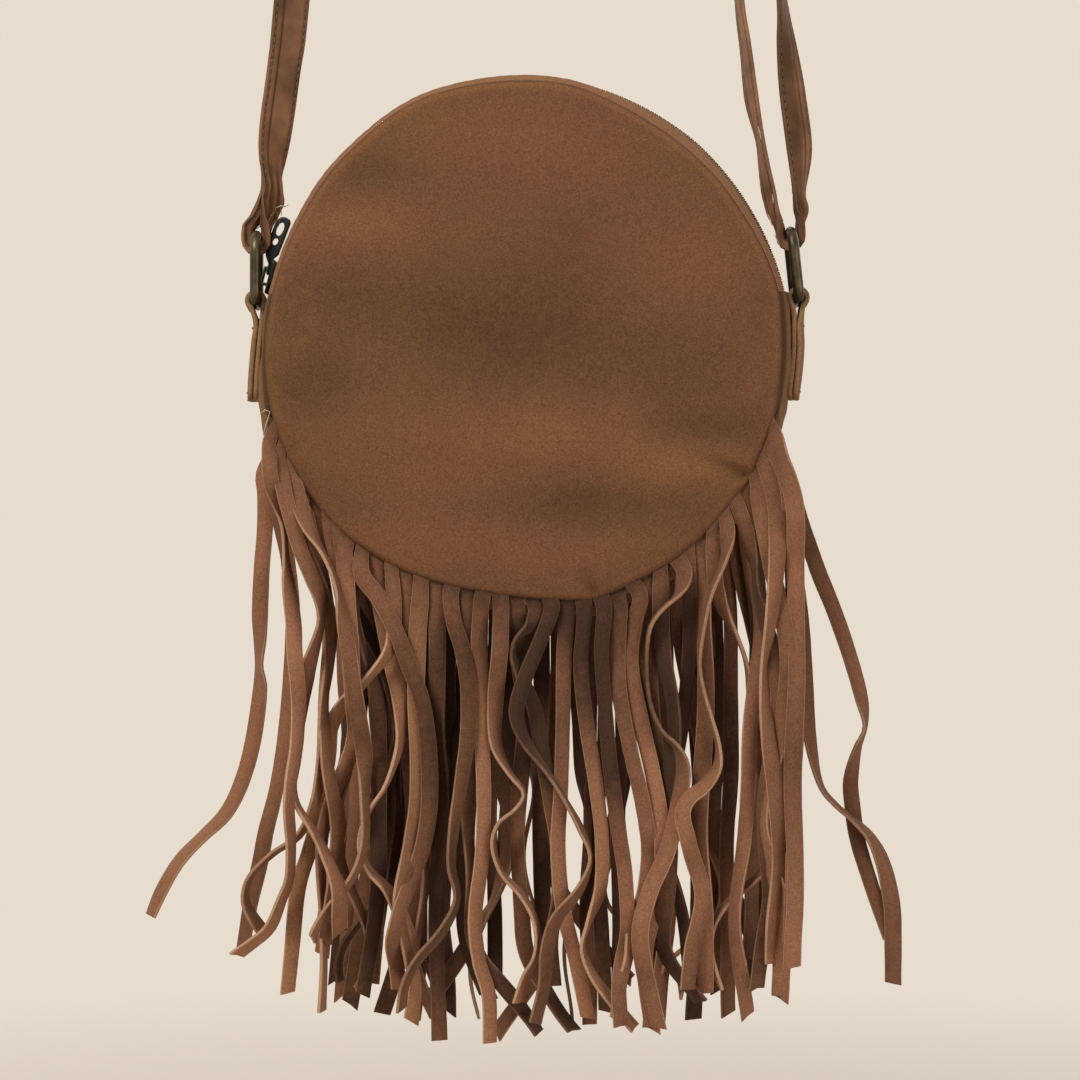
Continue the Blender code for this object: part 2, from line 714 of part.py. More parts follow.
def adjuster_frame_axes():
    base, _, along, outward = strand_line()
    centre = base + along * (ADJUSTER_UP - STRAND_START_UP)
    return centre, along, outward


def adjuster_offsets():
    """How far the end bars and the middle bar stand from the strap's middle."""
    end_bar = STRAP_THICKNESS / 2 + SEAM_GAP + ADJUSTER_WIRE
    middle_bar = STRAP_THICKNESS / 2 + 2 * SEAM_GAP + STRAP_END_THICKNESS + ADJUSTER_WIRE
    return end_bar, -middle_bar


def add_return_strand():
    """From beside the ring up to the adjuster, round its middle bar and sewn down."""
    centre, along, outward = adjuster_frame_axes()
    _, bar = adjuster_offsets()
    turn_radius = ADJUSTER_WIRE + SEAM_GAP + STRAP_END_THICKNESS / 2
    last = near_ring(RIGHT_INNER, 1)[-1]
    stations = near_ring(RETURN_STRAND, 1)
    start = Vector(last[0]).lerp(Vector(stations[0][0]), SEAM_GAP / (8.0 * MM))
    stations.insert(0, (tuple(start), last[1], last[2], STRAP_THICKNESS))
    cross = (0.0, 1.0, 0.0)

    def spot(up, out):
        return tuple(centre + along * up + outward * out)

    close = bar + turn_radius - STRAP_END_THICKNESS - 2 * SEAM_GAP
    stations.append((spot(-30 * MM, close - 1.0 * MM), cross, STRAP_WIDTH, STRAP_THICKNESS))
    stations.append((spot(-18 * MM, close - 0.1 * MM), cross, STRAP_WIDTH, STRAP_END_THICKNESS))
    stations.append((spot(-7 * MM, close - 0.5 * MM), cross, STRAP_WIDTH, STRAP_END_THICKNESS))
    for degrees in range(190, -11, -20):
        angle = math.radians(degrees)
        stations.append((spot(turn_radius * math.sin(angle), bar + turn_radius * math.cos(angle)),
                         cross, STRAP_WIDTH, STRAP_END_THICKNESS))
    stations.append((spot(-6 * MM, bar + turn_radius), cross, STRAP_WIDTH, STRAP_END_THICKNESS))
    stations.append((spot(-17 * MM, bar + turn_radius), cross, STRAP_WIDTH, STRAP_END_THICKNESS))
    add_object("strap_return", strip_loft(stations), strap_leather)


def add_adjuster():
    centre, along, outward = adjuster_frame_axes()
    end_bar, middle_bar = adjuster_offsets()
    height = ADJUSTER_HALF_HEIGHT
    corner = 2.0 * MM
    wide = ADJUSTER_HALF_WIDTH
    outline = []
    for sign_w, sign_t, start in ((1, 1, 0), (-1, 1, 90), (-1, -1, 180), (1, -1, 270)):
        outline += arc_points((sign_w * (wide - corner), sign_t * (height - corner)),
                              corner, start, start + 90, 2)
        if sign_w == -1 and sign_t == 1 or sign_w == 1 and sign_t == -1:
            side = -wide if sign_t == 1 else wide
            for share in (0.55, 0.2, 0.0, -0.2, -0.55):
                outline.append((side, sign_t * share * height))
    pivot = add_empty("adjuster_pivot", tuple(centre))

    def bowed(across, up):
        depth = end_bar + (middle_bar - end_bar) * (1.0 - smoothstep(0.1, 0.75, abs(up) / height))
        return tuple(Vector((0, across, 0)) + along * up + outward * depth)

    frame = wire_from_points("adjuster", [bowed(w, t) for w, t in outline],
                             ADJUSTER_WIRE, brass, True, None, 1)
    bar = wire_from_points("middle_bar", [bowed(-wide, 0.0), bowed(wide, 0.0)],
                           ADJUSTER_WIRE * 0.95, brass, False, None, 1)
    join_solids(frame, [bar])
    frame.parent = pivot


# Fringe

# Ribbons that stand out: drop in mm, then the sideways shift in mm at each sixth of it
FRONT_TRACED = {
    0: (193, (4, 7, 10, 9, 8, -13)),
    8: (175, (3, 5, -2, -9, -9, -8)),
    9: (158, (12, 22, 24, 23, 20, 16)),
    11: (158, (1, -18, -24, -29, -36, -37)),
    15: (153, (5, 6, 2, -1, -5, -18)),
    17: (155, (0, 1, 2, 0, -8, -20)),
    21: (155, (-11, -11, 6, 10, -4, -8)),
    24: (154, (0, 1, 5, 6, 6, 5)),
    29: (174, (-13, -10, -1, -8, -10, -9)),
    33: (172, (-4, -8, -1, -12, -7, -13)),
    39: (195, (5, 7, 7, 6, 6, 6)),
}
BACK_TRACED = {
    0: (180, (-2, -3, -4, -8, -25, -45)),
    1: (190, (4, 5, 6, 4, -4, -10)),
    38: (199, (11, 20, 29, 34, 42, 44)),
    39: (191, (8, 19, 29, 30, 36, 46)),
}


def ribbon_wave(seed, traced, index, root_z):
    """Drop of a ribbon and its sideways shift as a function of the share of the drop."""
    if index in traced:
        drop, shifts = traced[index]
        knots = [0.0] + [shift * MM for shift in shifts]
        return drop * MM, lambda share: float(np.interp(share, np.linspace(0, 1, 7), knots))
    dice = random.Random(seed * 1000 + index)
    drop = root_z + (252.0 + dice.uniform(-12, 10)) * MM
    size = dice.uniform(1.5, 4.5) * MM
    turns = dice.uniform(0.7, 1.5)
    start = dice.uniform(0, 2 * math.pi)
    lean = dice.uniform(-7, 7) * MM

    def shift(share):
        wave = math.sin(start + 2 * math.pi * turns * share) - math.sin(start)
        return size * wave * min(share * 3, 1) + lean * share * share

    return drop, shift


def ribbon_turn(seed, index, side_lean):
    """Twist of a ribbon about its own length, in radians, by the share of its drop."""
    dice = random.Random(seed * 2000 + index)
    size = math.radians(dice.uniform(15, 55))
    turns = dice.uniform(0.6, 1.4)
    start = dice.uniform(0, 2 * math.pi)
    root = math.radians(72.0) * side_lean ** 3

    def turn(share):
        wave = math.sin(start + 2 * math.pi * turns * share) - math.sin(start)
        return root * (1.0 - 0.4 * share) + size * wave * min(share * 2.5, 1) * 0.5

    return turn


def stack_height(dx, turn_a, turn_b, half_width, half_thick):
    """How far ribbon b must lie outside ribbon a so that their sections clear."""
    tops = []
    lows = []
    for turn in (turn_a, turn_a + math.pi / 2, turn_b, turn_b + math.pi / 2):
        normal = (-math.sin(turn), math.cos(turn))
        reach = 0.0
        for other in (turn_a, turn_b):
            across = abs(normal[0] * math.cos(other) + normal[1] * math.sin(other))
            through = abs(-normal[0] * math.sin(other) + normal[1] * math.cos(other))
            reach += across * half_width + through * half_thick
        if abs(normal[1]) < 1e-6:
            if abs(dx) > reach:
                return None
            continue
        one = (reach - normal[0] * dx) / normal[1]
        two = (-reach - normal[0] * dx) / normal[1]
        tops.append(max(one, two))
        lows.append(min(one, two))
    if min(tops) <= max(lows):
        return None
    return min(tops)


def fringe_levels():
    """Heights at which every ribbon has a section, from the top down."""
    deepest = PANEL_RADIUS + LONGEST_RIBBON
    return [-k * RIBBON_LEVEL for k in range(1, math.ceil(deepest / RIBBON_LEVEL) + 1)]


def lay_ribbons(seed, traced):
    """Sideways place, twist and outward stacking of each ribbon at each level."""
    pitch = (FRINGE_END - FRINGE_START) / RIBBONS
    levels = fringe_levels()
    ribbons = []
    for index in range(RIBBONS):
        degrees = FRINGE_START + pitch * (index + 0.5)
        root = polar(seam_radius(degrees) + HEADER_OUTSIDE, degrees, 0.0)
        side_lean = (270.0 - degrees) / (270.0 - FRINGE_START)
        drop, shift = ribbon_wave(seed, traced, index, root[2])
        turn = ribbon_turn(seed, index, side_lean)
        places = []
        for z in levels:
            share = max((root[2] - z) / drop, 0.0)
            places.append((root[0] + shift(min(share, 1.3)), turn(min(share, 1.0))))
        ribbons.append({"degrees": degrees, "root": root, "tip": root[2] - drop,
                        "places": places, "out": [0.0] * len(levels)})
    order = sorted(range(RIBBONS), key=lambda i: (i in traced, i % 2, i))
    half_width = RIBBON_WIDTH / 2 + RIBBON_CLEARANCE / 2
    half_thick = RIBBON_THICKNESS / 2 + RIBBON_CLEARANCE / 2
    laid = []
    for index in order:
        ribbon = ribbons[index]
        need = []
        for k, z in enumerate(levels):
            x, turn = ribbon["places"][k]
            wall = abs(math.sin(turn)) * RIBBON_WIDTH / 2
            best = wall if z < ribbon["root"][2] else 0.0
            for other in laid:
                below = ribbons[other]
                if z > below["root"][2] + RIBBON_LEVEL or z < below["tip"] - RIBBON_LEVEL:
                    continue
                for step in (k - 1, k, k + 1):
                    if not 0 <= step < len(levels):
                        continue
                    for mix in ((0.0, 0.5) if step != k else (0.0,)):
                        xa = below["places"][step][0] * (1 - mix) + below["places"][k][0] * mix
                        xb = ribbon["places"][step][0] * (1 - mix) + x * mix
                        height = stack_height(xb - xa, below["places"][k][1], turn,
                                              half_width, half_thick)
                        if height is not None:
                            best = max(best, below["out"][k] + height)
            need.append(best)
        wide = [max(need[max(k - 1, 0):k + 2]) for k in range(len(need))]
        ribbon["out"] = [max(need[k], 0.25 * wide[max(k - 1, 0)] + 0.5 * wide[k]
                             + 0.25 * wide[min(k + 1, len(wide) - 1)]) for k in range(len(wide))]
        laid.append(index)
    return levels, ribbons


def ribbon_section(x, y, z, turn, front):
    """Four corners of a ribbon's section; front is -1 or +1 along Y."""
    across = Vector((math.cos(turn), -front * math.sin(turn), 0.0)) * RIBBON_WIDTH / 2
    normal = Vector((-across.y, across.x, 0.0)).normalized() * RIBBON_THICKNESS / 2
    if normal.y * front < 0:
        normal = -normal
    middle = Vector((x, y, z))
    return [middle - across + normal, middle + across + normal,
            middle + across - normal, middle - across - normal]


def add_fringe(name, front, seed, traced):
    """One strip of suede: an uncut header in the seam and its cut ribbons."""
    levels, ribbons = lay_ribbons(seed, traced)
    pitch = (FRINGE_END - FRINGE_START) / RIBBONS
    slit = math.degrees(RIBBON_SLIT / PANEL_RADIUS) / 2
    outer_y = front * (header_y() + RIBBON_THICKNESS / 2)
    inner_y = front * (header_y() - RIBBON_THICKNESS / 2)
    bm = bmesh.new()

    def header_corner(degrees):
        inside = seam_radius(degrees) - HEADER_INSIDE
        outside = seam_radius(degrees) + HEADER_OUTSIDE
        spots = (polar(inside, degrees, outer_y), polar(outside, degrees, outer_y),
                 polar(outside, degrees, inner_y), polar(inside, degrees, inner_y))
        return [bm.verts.new(spot) for spot in spots]

    edges = []
    for ribbon in ribbons:
        edges.append(header_corner(ribbon["degrees"] - pitch / 2 + slit))
        edges.append(header_corner(ribbon["degrees"] + pitch / 2 - slit))
    for k, (left, right) in enumerate(zip(edges, edges[1:])):
        bm.faces.new((left[0], right[0], right[1], left[1]))
        bm.faces.new((left[2], right[2], right[3], left[3]))
        bm.faces.new((left[3], right[3], right[0], left[0]))
        if k % 2:
            bm.faces.new((left[1], right[1], right[2], left[2]))
    bm.faces.new(edges[0])
    bm.faces.new(reversed(edges[-1]))

    for k, ribbon in enumerate(ribbons):
        left, right = edges[2 * k], edges[2 * k + 1]
        ring = [left[1], right[1], right[2], left[2]]
        for level, z in enumerate(levels):
            if z > ribbon["root"][2] - 8.0 * MM:
                continue
            x, turn = ribbon["places"][level]
            out = ribbon["out"][level]
            stop = z <= ribbon["tip"]
            if stop:
                share = (levels[level - 1] - ribbon["tip"]) / RIBBON_LEVEL
                x = ribbon["places"][level - 1][0] * (1 - share) + x * share
                turn = ribbon["places"][level - 1][1] * (1 - share) + turn * share
                out = ribbon["out"][level - 1] * (1 - share) + out * share
                z = ribbon["tip"]
                if share < 0.15:
                    break
            corners = ribbon_section(x, front * (header_y() + out), z, turn, front)
            fresh = [bm.verts.new(corner) for corner in corners]
            bridge(bm, ring, fresh)
            ring = fresh
            if stop:
                break
        bm.faces.new(ring)
    add_object(name, bm, fringe_suede, bag_middle)


clear_scene()
parts = new_collection(COLLECTION_NAME)

suede = make_material("suede", (0.216, 0.105, 0.042), 0.9)
fringe_suede = make_material("fringe_suede", (0.275, 0.125, 0.067), 0.92)
strap_leather = make_material("strap_leather", (0.155, 0.068, 0.036), 0.55)
tape_cloth = make_material("tape_cloth", (0.23, 0.12, 0.055), 0.85)
coil_nylon = make_material("coil_nylon", (0.20, 0.11, 0.05), 0.5)
lining_cloth = make_material("lining_cloth", (0.12, 0.07, 0.04), 0.8)
brass = make_material("antique_brass", (0.10, 0.085, 0.045), 0.35, 1.0)
slider_metal = make_material("slider_metal", (0.035, 0.033, 0.03), 0.4, 0.9)
pull_metal = make_material("pull_metal", (0.012, 0.011, 0.01), 0.25, 0.6)

bag_pivot = add_empty("bag_pivot", (-RING_X, 0, BAG_Z + RING_BAR_Z))
bag_middle = add_empty("bag_middle", (RING_X, 0, -RING_BAR_Z), bag_pivot)

add_panel("front_panel", -1, 0.0, 0.0, SUEDE, suede)
add_panel("back_panel", 1, 0.0, 0.0, SUEDE, suede)
add_gusset()
add_zip_side(-1, "front")
add_zip_side(1, "back")
add_linings()
add_slider()
add_pull()
add_rings()
add_tabs()
add_strap()
add_return_strand()
add_adjuster()
add_fringe("front_fringe", -1, 3, FRONT_TRACED)
add_fringe("back_fringe", 1, 7, BACK_TRACED)
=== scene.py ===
"""The looks of a round fringed suede bag that hangs by its strap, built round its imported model."""
import math
import random

import bpy
import numpy as np
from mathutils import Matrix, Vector


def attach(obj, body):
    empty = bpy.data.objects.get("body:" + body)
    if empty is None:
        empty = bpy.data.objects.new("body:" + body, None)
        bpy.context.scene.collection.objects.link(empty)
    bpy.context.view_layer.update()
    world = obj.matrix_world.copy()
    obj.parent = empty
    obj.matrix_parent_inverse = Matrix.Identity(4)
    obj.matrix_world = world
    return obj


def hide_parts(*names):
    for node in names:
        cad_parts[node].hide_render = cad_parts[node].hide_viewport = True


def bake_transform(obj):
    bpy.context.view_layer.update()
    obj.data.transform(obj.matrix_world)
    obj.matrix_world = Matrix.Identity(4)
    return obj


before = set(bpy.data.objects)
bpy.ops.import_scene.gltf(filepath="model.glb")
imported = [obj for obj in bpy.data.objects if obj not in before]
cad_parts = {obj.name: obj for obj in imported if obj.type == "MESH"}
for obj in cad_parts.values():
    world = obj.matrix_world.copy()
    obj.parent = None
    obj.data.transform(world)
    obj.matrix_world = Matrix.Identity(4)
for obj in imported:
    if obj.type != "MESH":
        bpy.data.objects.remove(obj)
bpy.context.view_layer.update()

# The camera looks straight at the bag from a little right of its middle, at the
# height of the fringe's roots. The picture is square, 1080 by 1080.
MM = 0.001
BAG = Vector((0.0, 0.0, -0.626))
VIEW_WIDTH = 0.393
# Eye and aim, in millimetres from the bag's middle
EYE = (48.8, -840.0, -73.5)
AIM = (5.8, -20.0, -73.5)
eye = BAG + Vector(EYE) * MM
aim = BAG + Vector(AIM) * MM
camera_data = bpy.data.cameras.new("camera")
camera_data.sensor_width = 36.0
camera_data.lens = camera_data.sensor_width * (aim - eye).length / VIEW_WIDTH
camera = bpy.data.objects.new("camera", camera_data)
camera.location = eye
camera.rotation_euler = (aim - eye).to_track_quat("-Z", "Y").to_euler()
bpy.context.scene.collection.objects.link(camera)
bpy.context.scene.camera = camera
bpy.context.scene.view_settings.view_transform = "Standard"


# The floor is a wide pale disc some way below the fringe. Its rim fades into the
# pale surroundings, and a large soft lamp at the upper left does most of the lighting.
FLOOR_HEIGHT = -1.3
FLOOR_RADIUS = 2.4
FADE_STARTS, FADE_ENDS = 1.0, 2.3
PALE = (0.80, 0.72, 0.62)
AMBIENT = (1.0, 0.97, 0.93)


def new_material(name):
    """An empty node material, with its node tree and its output."""
    made = bpy.data.materials.new(name)
    made.use_nodes = True
    tree = made.node_tree
    tree.nodes.clear()
    return made, tree, tree.nodes.new("ShaderNodeOutputMaterial")


def add_node(tree, kind, inputs=(), **settings):
    """Adds a node. Settings are its properties. Inputs are its sockets, each with a
    number, a colour, or the node or output that feeds it."""
    node = tree.nodes.new(kind)
    for key, value in settings.items():
        setattr(node, key, value)
    for key, source in dict(inputs).items():
        socket = node.inputs[key]
        if isinstance(source, bpy.types.Node):
            source = next(output for output in source.outputs if output.enabled)
        if isinstance(source, bpy.types.NodeSocket):
            tree.links.new(source, socket)
        else:
            socket.default_value = (*source, 1.0) if socket.type == "RGBA" else source
    return node


def add_math(tree, operation, *values):
    return add_node(tree, "ShaderNodeMath", enumerate(values), operation=operation)


def add_range(tree, source, low, high, to_low=0.0, to_high=1.0, **settings):
    """Spreads a number from one range to another."""
    return add_node(tree, "ShaderNodeMapRange", {"Value": source, "From Min": low, "From Max": high,
                                                 "To Min": to_low, "To Max": to_high}, **settings)


def select_only(piece=None):
    bpy.ops.object.select_all(action="DESELECT")
    if piece:
        bpy.context.view_layer.objects.active = piece
        piece.select_set(True)


select_only()
bpy.ops.mesh.primitive_circle_add(vertices=128, radius=FLOOR_RADIUS, fill_type="NGON")
floor = bpy.context.active_object
floor.name = "floor"
for vert in floor.data.vertices:
    vert.co.z = FLOOR_HEIGHT
pale_floor, tree, output = new_material("pale_floor")
place = add_node(tree, "ShaderNodeTexCoord").outputs["Object"]
flat = add_node(tree, "ShaderNodeVectorMath", {0: place, 1: (1.0, 1.0, 0.0)}, operation="MULTIPLY")
reach = add_node(tree, "ShaderNodeVectorMath", {0: flat}, operation="LENGTH")
fade = add_range(tree, reach, FADE_STARTS, FADE_ENDS, interpolation_type="SMOOTHSTEP")
plain = add_node(tree, "ShaderNodeBsdfDiffuse", {"Color": PALE})
clear = add_node(tree, "ShaderNodeBsdfTransparent")
blend = add_node(tree, "ShaderNodeMixShader", {0: fade, 1: plain, 2: clear})
tree.links.new(blend.outputs[0], output.inputs["Surface"])
floor.data.materials.append(pale_floor)

world = bpy.data.worlds.new("world")
world.use_nodes = True
bpy.context.scene.world = world
tree = world.node_tree
tree.nodes.clear()
output = tree.nodes.new("ShaderNodeOutputWorld")
seen = add_node(tree, "ShaderNodeLightPath").outputs
passing = add_math(tree, "MAXIMUM", seen["Is Glossy Ray"], seen["Is Transmission Ray"])
shown = add_math(tree, "MAXIMUM", seen["Is Camera Ray"], passing)
backdrop = add_node(tree, "ShaderNodeBackground", {"Color": PALE, "Strength": 1.0})
ambient = add_node(tree, "ShaderNodeBackground", {"Color": AMBIENT, "Strength": 0.24})
pick = add_node(tree, "ShaderNodeMixShader", {0: shown, 1: ambient, 2: backdrop})
tree.links.new(pick.outputs[0], output.inputs["Surface"])


def add_lamp(name, place, size, power, colour):
    """A round soft lamp, placed in metres from the bag's middle and turned towards it."""
    data = bpy.data.lights.new(name, "AREA")
    data.shape = "DISK"
    data.size = size
    data.energy = power
    data.color = colour
    lamp = bpy.data.objects.new(name, data)
    lamp.location = BAG + Vector(place)
    lamp.rotation_euler = (-Vector(place)).to_track_quat("-Z", "Y").to_euler()
    bpy.context.scene.collection.objects.link(lamp)


add_lamp("key", (-1.0, -1.5, 1.7), 0.8, 38.5, (1.0, 0.95, 0.88))
add_lamp("fill", (1.6, -1.5, 0.2), 1.2, 11.0, (1.0, 0.97, 0.95))
add_lamp("back_left", (-0.9, 1.7, 1.2), 1.0, 16.0, (1.0, 0.97, 0.93))
add_lamp("back_right", (1.1, 1.7, 0.7), 1.0, 5.0, (0.97, 0.98, 1.0))


# Panels. Front and back are soft suede discs, sewn all round with their edges
# turned under. The bag has been used: broad hollows, a dent and two small tucks show.
HALF_DEPTH = 18.0
PANEL_DOME = 5.0
PANEL_THICKNESS = 0.9
PANEL_CELLS = 150
SUEDE_OUT = 1.4
# The panel's rim turns under from this share of the radius, by so many mm
RIM_STARTS = 0.974
RIM_DROP = 2.3
# Seam's distance from the bag's middle, in mm, by degrees from the right, anticlockwise
SEAM = ((0, 93.9), (10, 94.3), (20, 92.8), (30, 91.4), (40, 91.1), (50, 90.8), (60, 90.9),
        (70, 92.1), (80, 94.2), (90, 94.3), (100, 94.6), (108, 95.3), (113, 95.9), (120, 95.5),
        (130, 94.3), (140, 94.2), (150, 93.3), (165, 94.0), (180, 95.5), (190, 96.5), (200, 97.4),
        (212, 98.1), (227, 97.9), (237, 96.7), (251, 94.7), (260, 93.9), (269, 94.6), (278, 96.4),
        (283, 98.3), (286, 99.2), (289, 98.2), (296, 97.6), (305, 97.8), (317, 96.9), (324, 96.4),
        (328, 97.6), (332, 96.5), (342, 95.6), (351, 94.4))


def around(table, degrees):
    """Reads a table of angle and value, all the way round."""
    angles, values = zip(*table)
    return np.interp(np.asarray(degrees, float) % 360.0, angles, values, period=360.0)


# Each place takes a weighted mean of the seam's distances up to 2.4 degrees to either side
SOFTENING = ((-2.4, 0.15), (-1.2, 0.22), (0.0, 0.26), (1.2, 0.22), (2.4, 0.15))
whole_turn = np.arange(0.0, 360.0, 0.5)
softened = sum(around(SEAM, whole_turn + step) * weight for step, weight in SOFTENING)


def seam_at(degrees):
    """The seam's distance from the bag's middle, with the table's corners softened."""
    return np.interp(np.asarray(degrees, float) % 360.0, whole_turn, softened, period=360.0)


def bump(value, middle, spread):
    return np.exp(-((value - middle) / spread) ** 2)


def ease(low, high, value):
    """Rises smoothly from 0 at the low value to 1 at the high one."""
    share = np.clip((np.asarray(value, float) - low) / (high - low), 0.0, 1.0)
    return share * share * (3.0 - 2.0 * share)


# Soft hollows and swells of the front: across, up, half width, half height, rise in mm, painted light or
# shade
SWELLS = ((-63, 41, 27, 10, 0.9, 1.2), (-55, 61, 13, 9, -0.9, -0.7), (-70, 14, 22, 13, -0.6, -0.5),
          (-9, 72, 42, 14, 0.6, 0.6), (6, 3, 40, 26, -1.0, -0.8), (-38, 10, 22, 15, -0.3, -0.5),
          (64, 28, 22, 18, 0.6, 0.5), (60, -12, 23, 20, -0.6, -0.4), (-81, -17, 15, 11, -0.7, -0.7),
          (2, -36, 44, 12, 1.0, 1.2), (-70, -37, 26, 13, 0.3, 0.2), (-45, -75, 42, 10, 0.9, 0.9),
          (25, -60, 36, 11, -0.8, -0.9), (58, -49, 24, 8, 1.2, 1.3), (66, -33, 20, 6, -0.9, -0.9),
          (13, -81, 33, 8, 0.5, 0.6), (-30, -52, 30, 9, -0.3, 0.5), (42, -73, 22, 7, 0.2, 0.2))
# The same for the back, which is plainer
BACK_SWELLS = ((-40, 30, 38, 22, 0.8, 0.5), (35, 45, 30, 18, 0.5, 0.3), (10, -8, 46, 26, -0.9, -0.5),
               (-55, -35, 26, 18, -0.5, -0.3), (45, -40, 34, 16, 0.8, 0.5), (-5, -68, 44, 12, 0.6, 0.4))
# Tucks run inwards from a corner of the seam: start, end, depth and half width
TUCKS = (((27.0, -95.3), (21.0, -83.0), 2.8, 1.5), ((83.2, -51.8), (60.0, -41.5), 3.6, 2.4),
         ((31.0, -94.0), (33.0, -86.0), 0.8, 1.6), ((-88.0, -42.0), (-76.0, -36.0), 0.7, 2.2),
         ((46.0, 78.0), (40.0, 70.0), 0.6, 1.8))


def tuck_depth(x, z, start, end, depth, spread):
    """How deep a tuck is at each point: deepest at its start, running out at its end."""
    start, end = np.array(start), np.array(end)
    run = end - start
    share = ((x - start[0]) * run[0] + (z - start[1]) * run[1]) / (run @ run)
    near = np.clip(share, -0.2, 1.0)
    apart = np.hypot(x - start[0] - near * run[0], z - start[1] - near * run[1])
    return depth * (1.0 - np.clip(near, 0.0, 1.0)) * bump(apart, 0.0, spread)


def take_new(name):
    """The primitive that was just added, under its own name."""
    piece = bpy.context.active_object
    piece.name = name
    piece.data.name = name
    return piece


def read_points(piece):
    points = np.zeros(len(piece.data.vertices) * 3)
    piece.data.vertices.foreach_get("co", points)
    return points.reshape(-1, 3)


def set_points(piece, points):
    piece.data.vertices.foreach_set("co", np.asarray(points).ravel())
    piece.data.update()


def write_points(piece, points):
    """Puts points in millimetres from the bag's middle back into the mesh, in metres."""
    set_points(piece, np.asarray(points) * MM + np.array(BAG))


def face_away(piece):
    """Turns an open sheet's faces away from the bag's middle."""
    total = sum((face.center - BAG).dot(face.normal) * face.area for face in piece.data.polygons)
    if total < 0:
        piece.data.flip_normals()


def apply_modifier(piece, kind, **settings):
    select_only(piece)
    modifier = piece.modifiers.new(kind.lower(), kind)
    for key, value in settings.items():
        setattr(modifier, key, value)
    bpy.ops.object.modifier_apply(modifier=modifier.name)


def thicken(piece, thickness):
    """Gives an open sheet its thickness, inwards from its outer face."""
    apply_modifier(piece, "SOLIDIFY", thickness=thickness * MM, offset=-1.0)


def smooth(piece, degrees=None):
    """Shades a piece smoothly, but for edges sharper than so many degrees."""
    select_only(piece)
    if degrees is None:
        bpy.ops.object.shade_smooth()
    else:
        bpy.ops.object.shade_smooth_by_angle(angle=math.radians(degrees))


def add_number(piece, name, values):
    """Keeps one number a point, for the material to read."""
    numbers = piece.data.attributes.get(name) or piece.data.attributes.new(name, "FLOAT", "POINT")
    numbers.data.foreach_set("value", np.asarray(values, np.float32))


def fit(piece, body, slot, *materials, node=None):
    """Gives a piece its finishes, the body it rides on and the node it replaces. Its slot is not used."""
    for material in materials:
        piece.data.materials.append(material)
    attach(piece, body)
    if node:
        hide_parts(node)


def add_noise(tree, scale, detail=2.0, roughness=0.5):
    """A cloudy pattern that keeps its place on the piece."""
    place = add_node(tree, "ShaderNodeTexCoord").outputs["Object"]
    return add_node(tree, "ShaderNodeTexNoise", {"Vector": place, "Scale": scale, "Detail": detail,
                                                 "Roughness": roughness})


def add_mix(tree, amount, first, second, blend_type="MIX"):
    return add_node(tree, "ShaderNodeMix", {"Factor": amount, "A": first, "B": second},
                    data_type="RGBA", blend_type=blend_type)


def add_ramp(tree, level, *stops):
    """Reads a colour from stops of place and colour: the first, the last, then any between."""
    ramp = add_node(tree, "ShaderNodeValToRGB", {"Fac": level})
    elements = ramp.color_ramp.elements
    for k, (place, colour) in enumerate(stops):
        stop = elements[k] if k < 2 else elements.new(place)
        stop.position = place
        stop.color = (*colour, 1.0)
    return ramp


def read_number(tree, name):
    """The number that add_number has kept in the mesh."""
    return add_node(tree, "ShaderNodeAttribute", attribute_name=name).outputs["Fac"]


def add_bump(tree, height, strength, distance=0.0002):
    return add_node(tree, "ShaderNodeBump", {"Height": height, "Strength": strength, "Distance": distance})


def add_surface(tree, output, inputs):
    shader = add_node(tree, "ShaderNodeBsdfPrincipled", inputs)
    tree.links.new(shader.outputs["BSDF"], output.inputs["Surface"])


def suede_material(name, lit, shade, deep, nap_scale=1.0, sheen=0.08, tone_name=None, hue_name=None):
    """Napped leather: broad cloudy shading, fine mottle, short fibres and a little sheen."""
    made, tree, output = new_material(name)
    clouds = add_noise(tree, 34.0, 3.0, 0.55)
    mottle = add_noise(tree, 260.0 * nap_scale, 4.0, 0.65)
    fibre = add_noise(tree, 1500.0 * nap_scale, 3.0, 0.7)
    broad = add_math(tree, "MULTIPLY_ADD", clouds, 0.36, 0.32)
    level = add_math(tree, "SUBTRACT", add_math(tree, "MULTIPLY_ADD", mottle, 0.31, broad), 0.155)
    if tone_name:
        level = add_math(tree, "MULTIPLY_ADD", read_number(tree, tone_name), 0.55, level)
    ramp = add_ramp(tree, level, (0.12, deep), (0.88, lit), (0.46, shade))
    speck = add_range(tree, fibre, 0.3, 0.75, 0.60, 1.32)
    speckled = add_mix(tree, 1.0, ramp, speck, "MULTIPLY")
    # Here and there the dye has turned a little towards olive
    hue = read_number(tree, hue_name) if hue_name else add_range(tree, add_noise(tree, 17.0), 0.34, 0.66)
    olive = add_mix(tree, hue, speckled, (0.94, 1.0, 0.88), "MULTIPLY")
    nap = add_bump(tree, add_math(tree, "ADD", mottle, fibre), 0.30, 0.0004)
    add_surface(tree, output, {"Base Color": olive, "Normal": nap, "Roughness": 0.92,
                               "Specular IOR Level": 0.08, "Sheen Weight": sheen, "Sheen Roughness": 0.5,
                               "Sheen Tint": (1.0, 0.78, 0.60)})
    return made


panel_suede = suede_material("panel_suede", (0.270, 0.118, 0.0575), (0.198, 0.089, 0.0457),
                             (0.115, 0.056, 0.0308), tone_name="painted_shading")


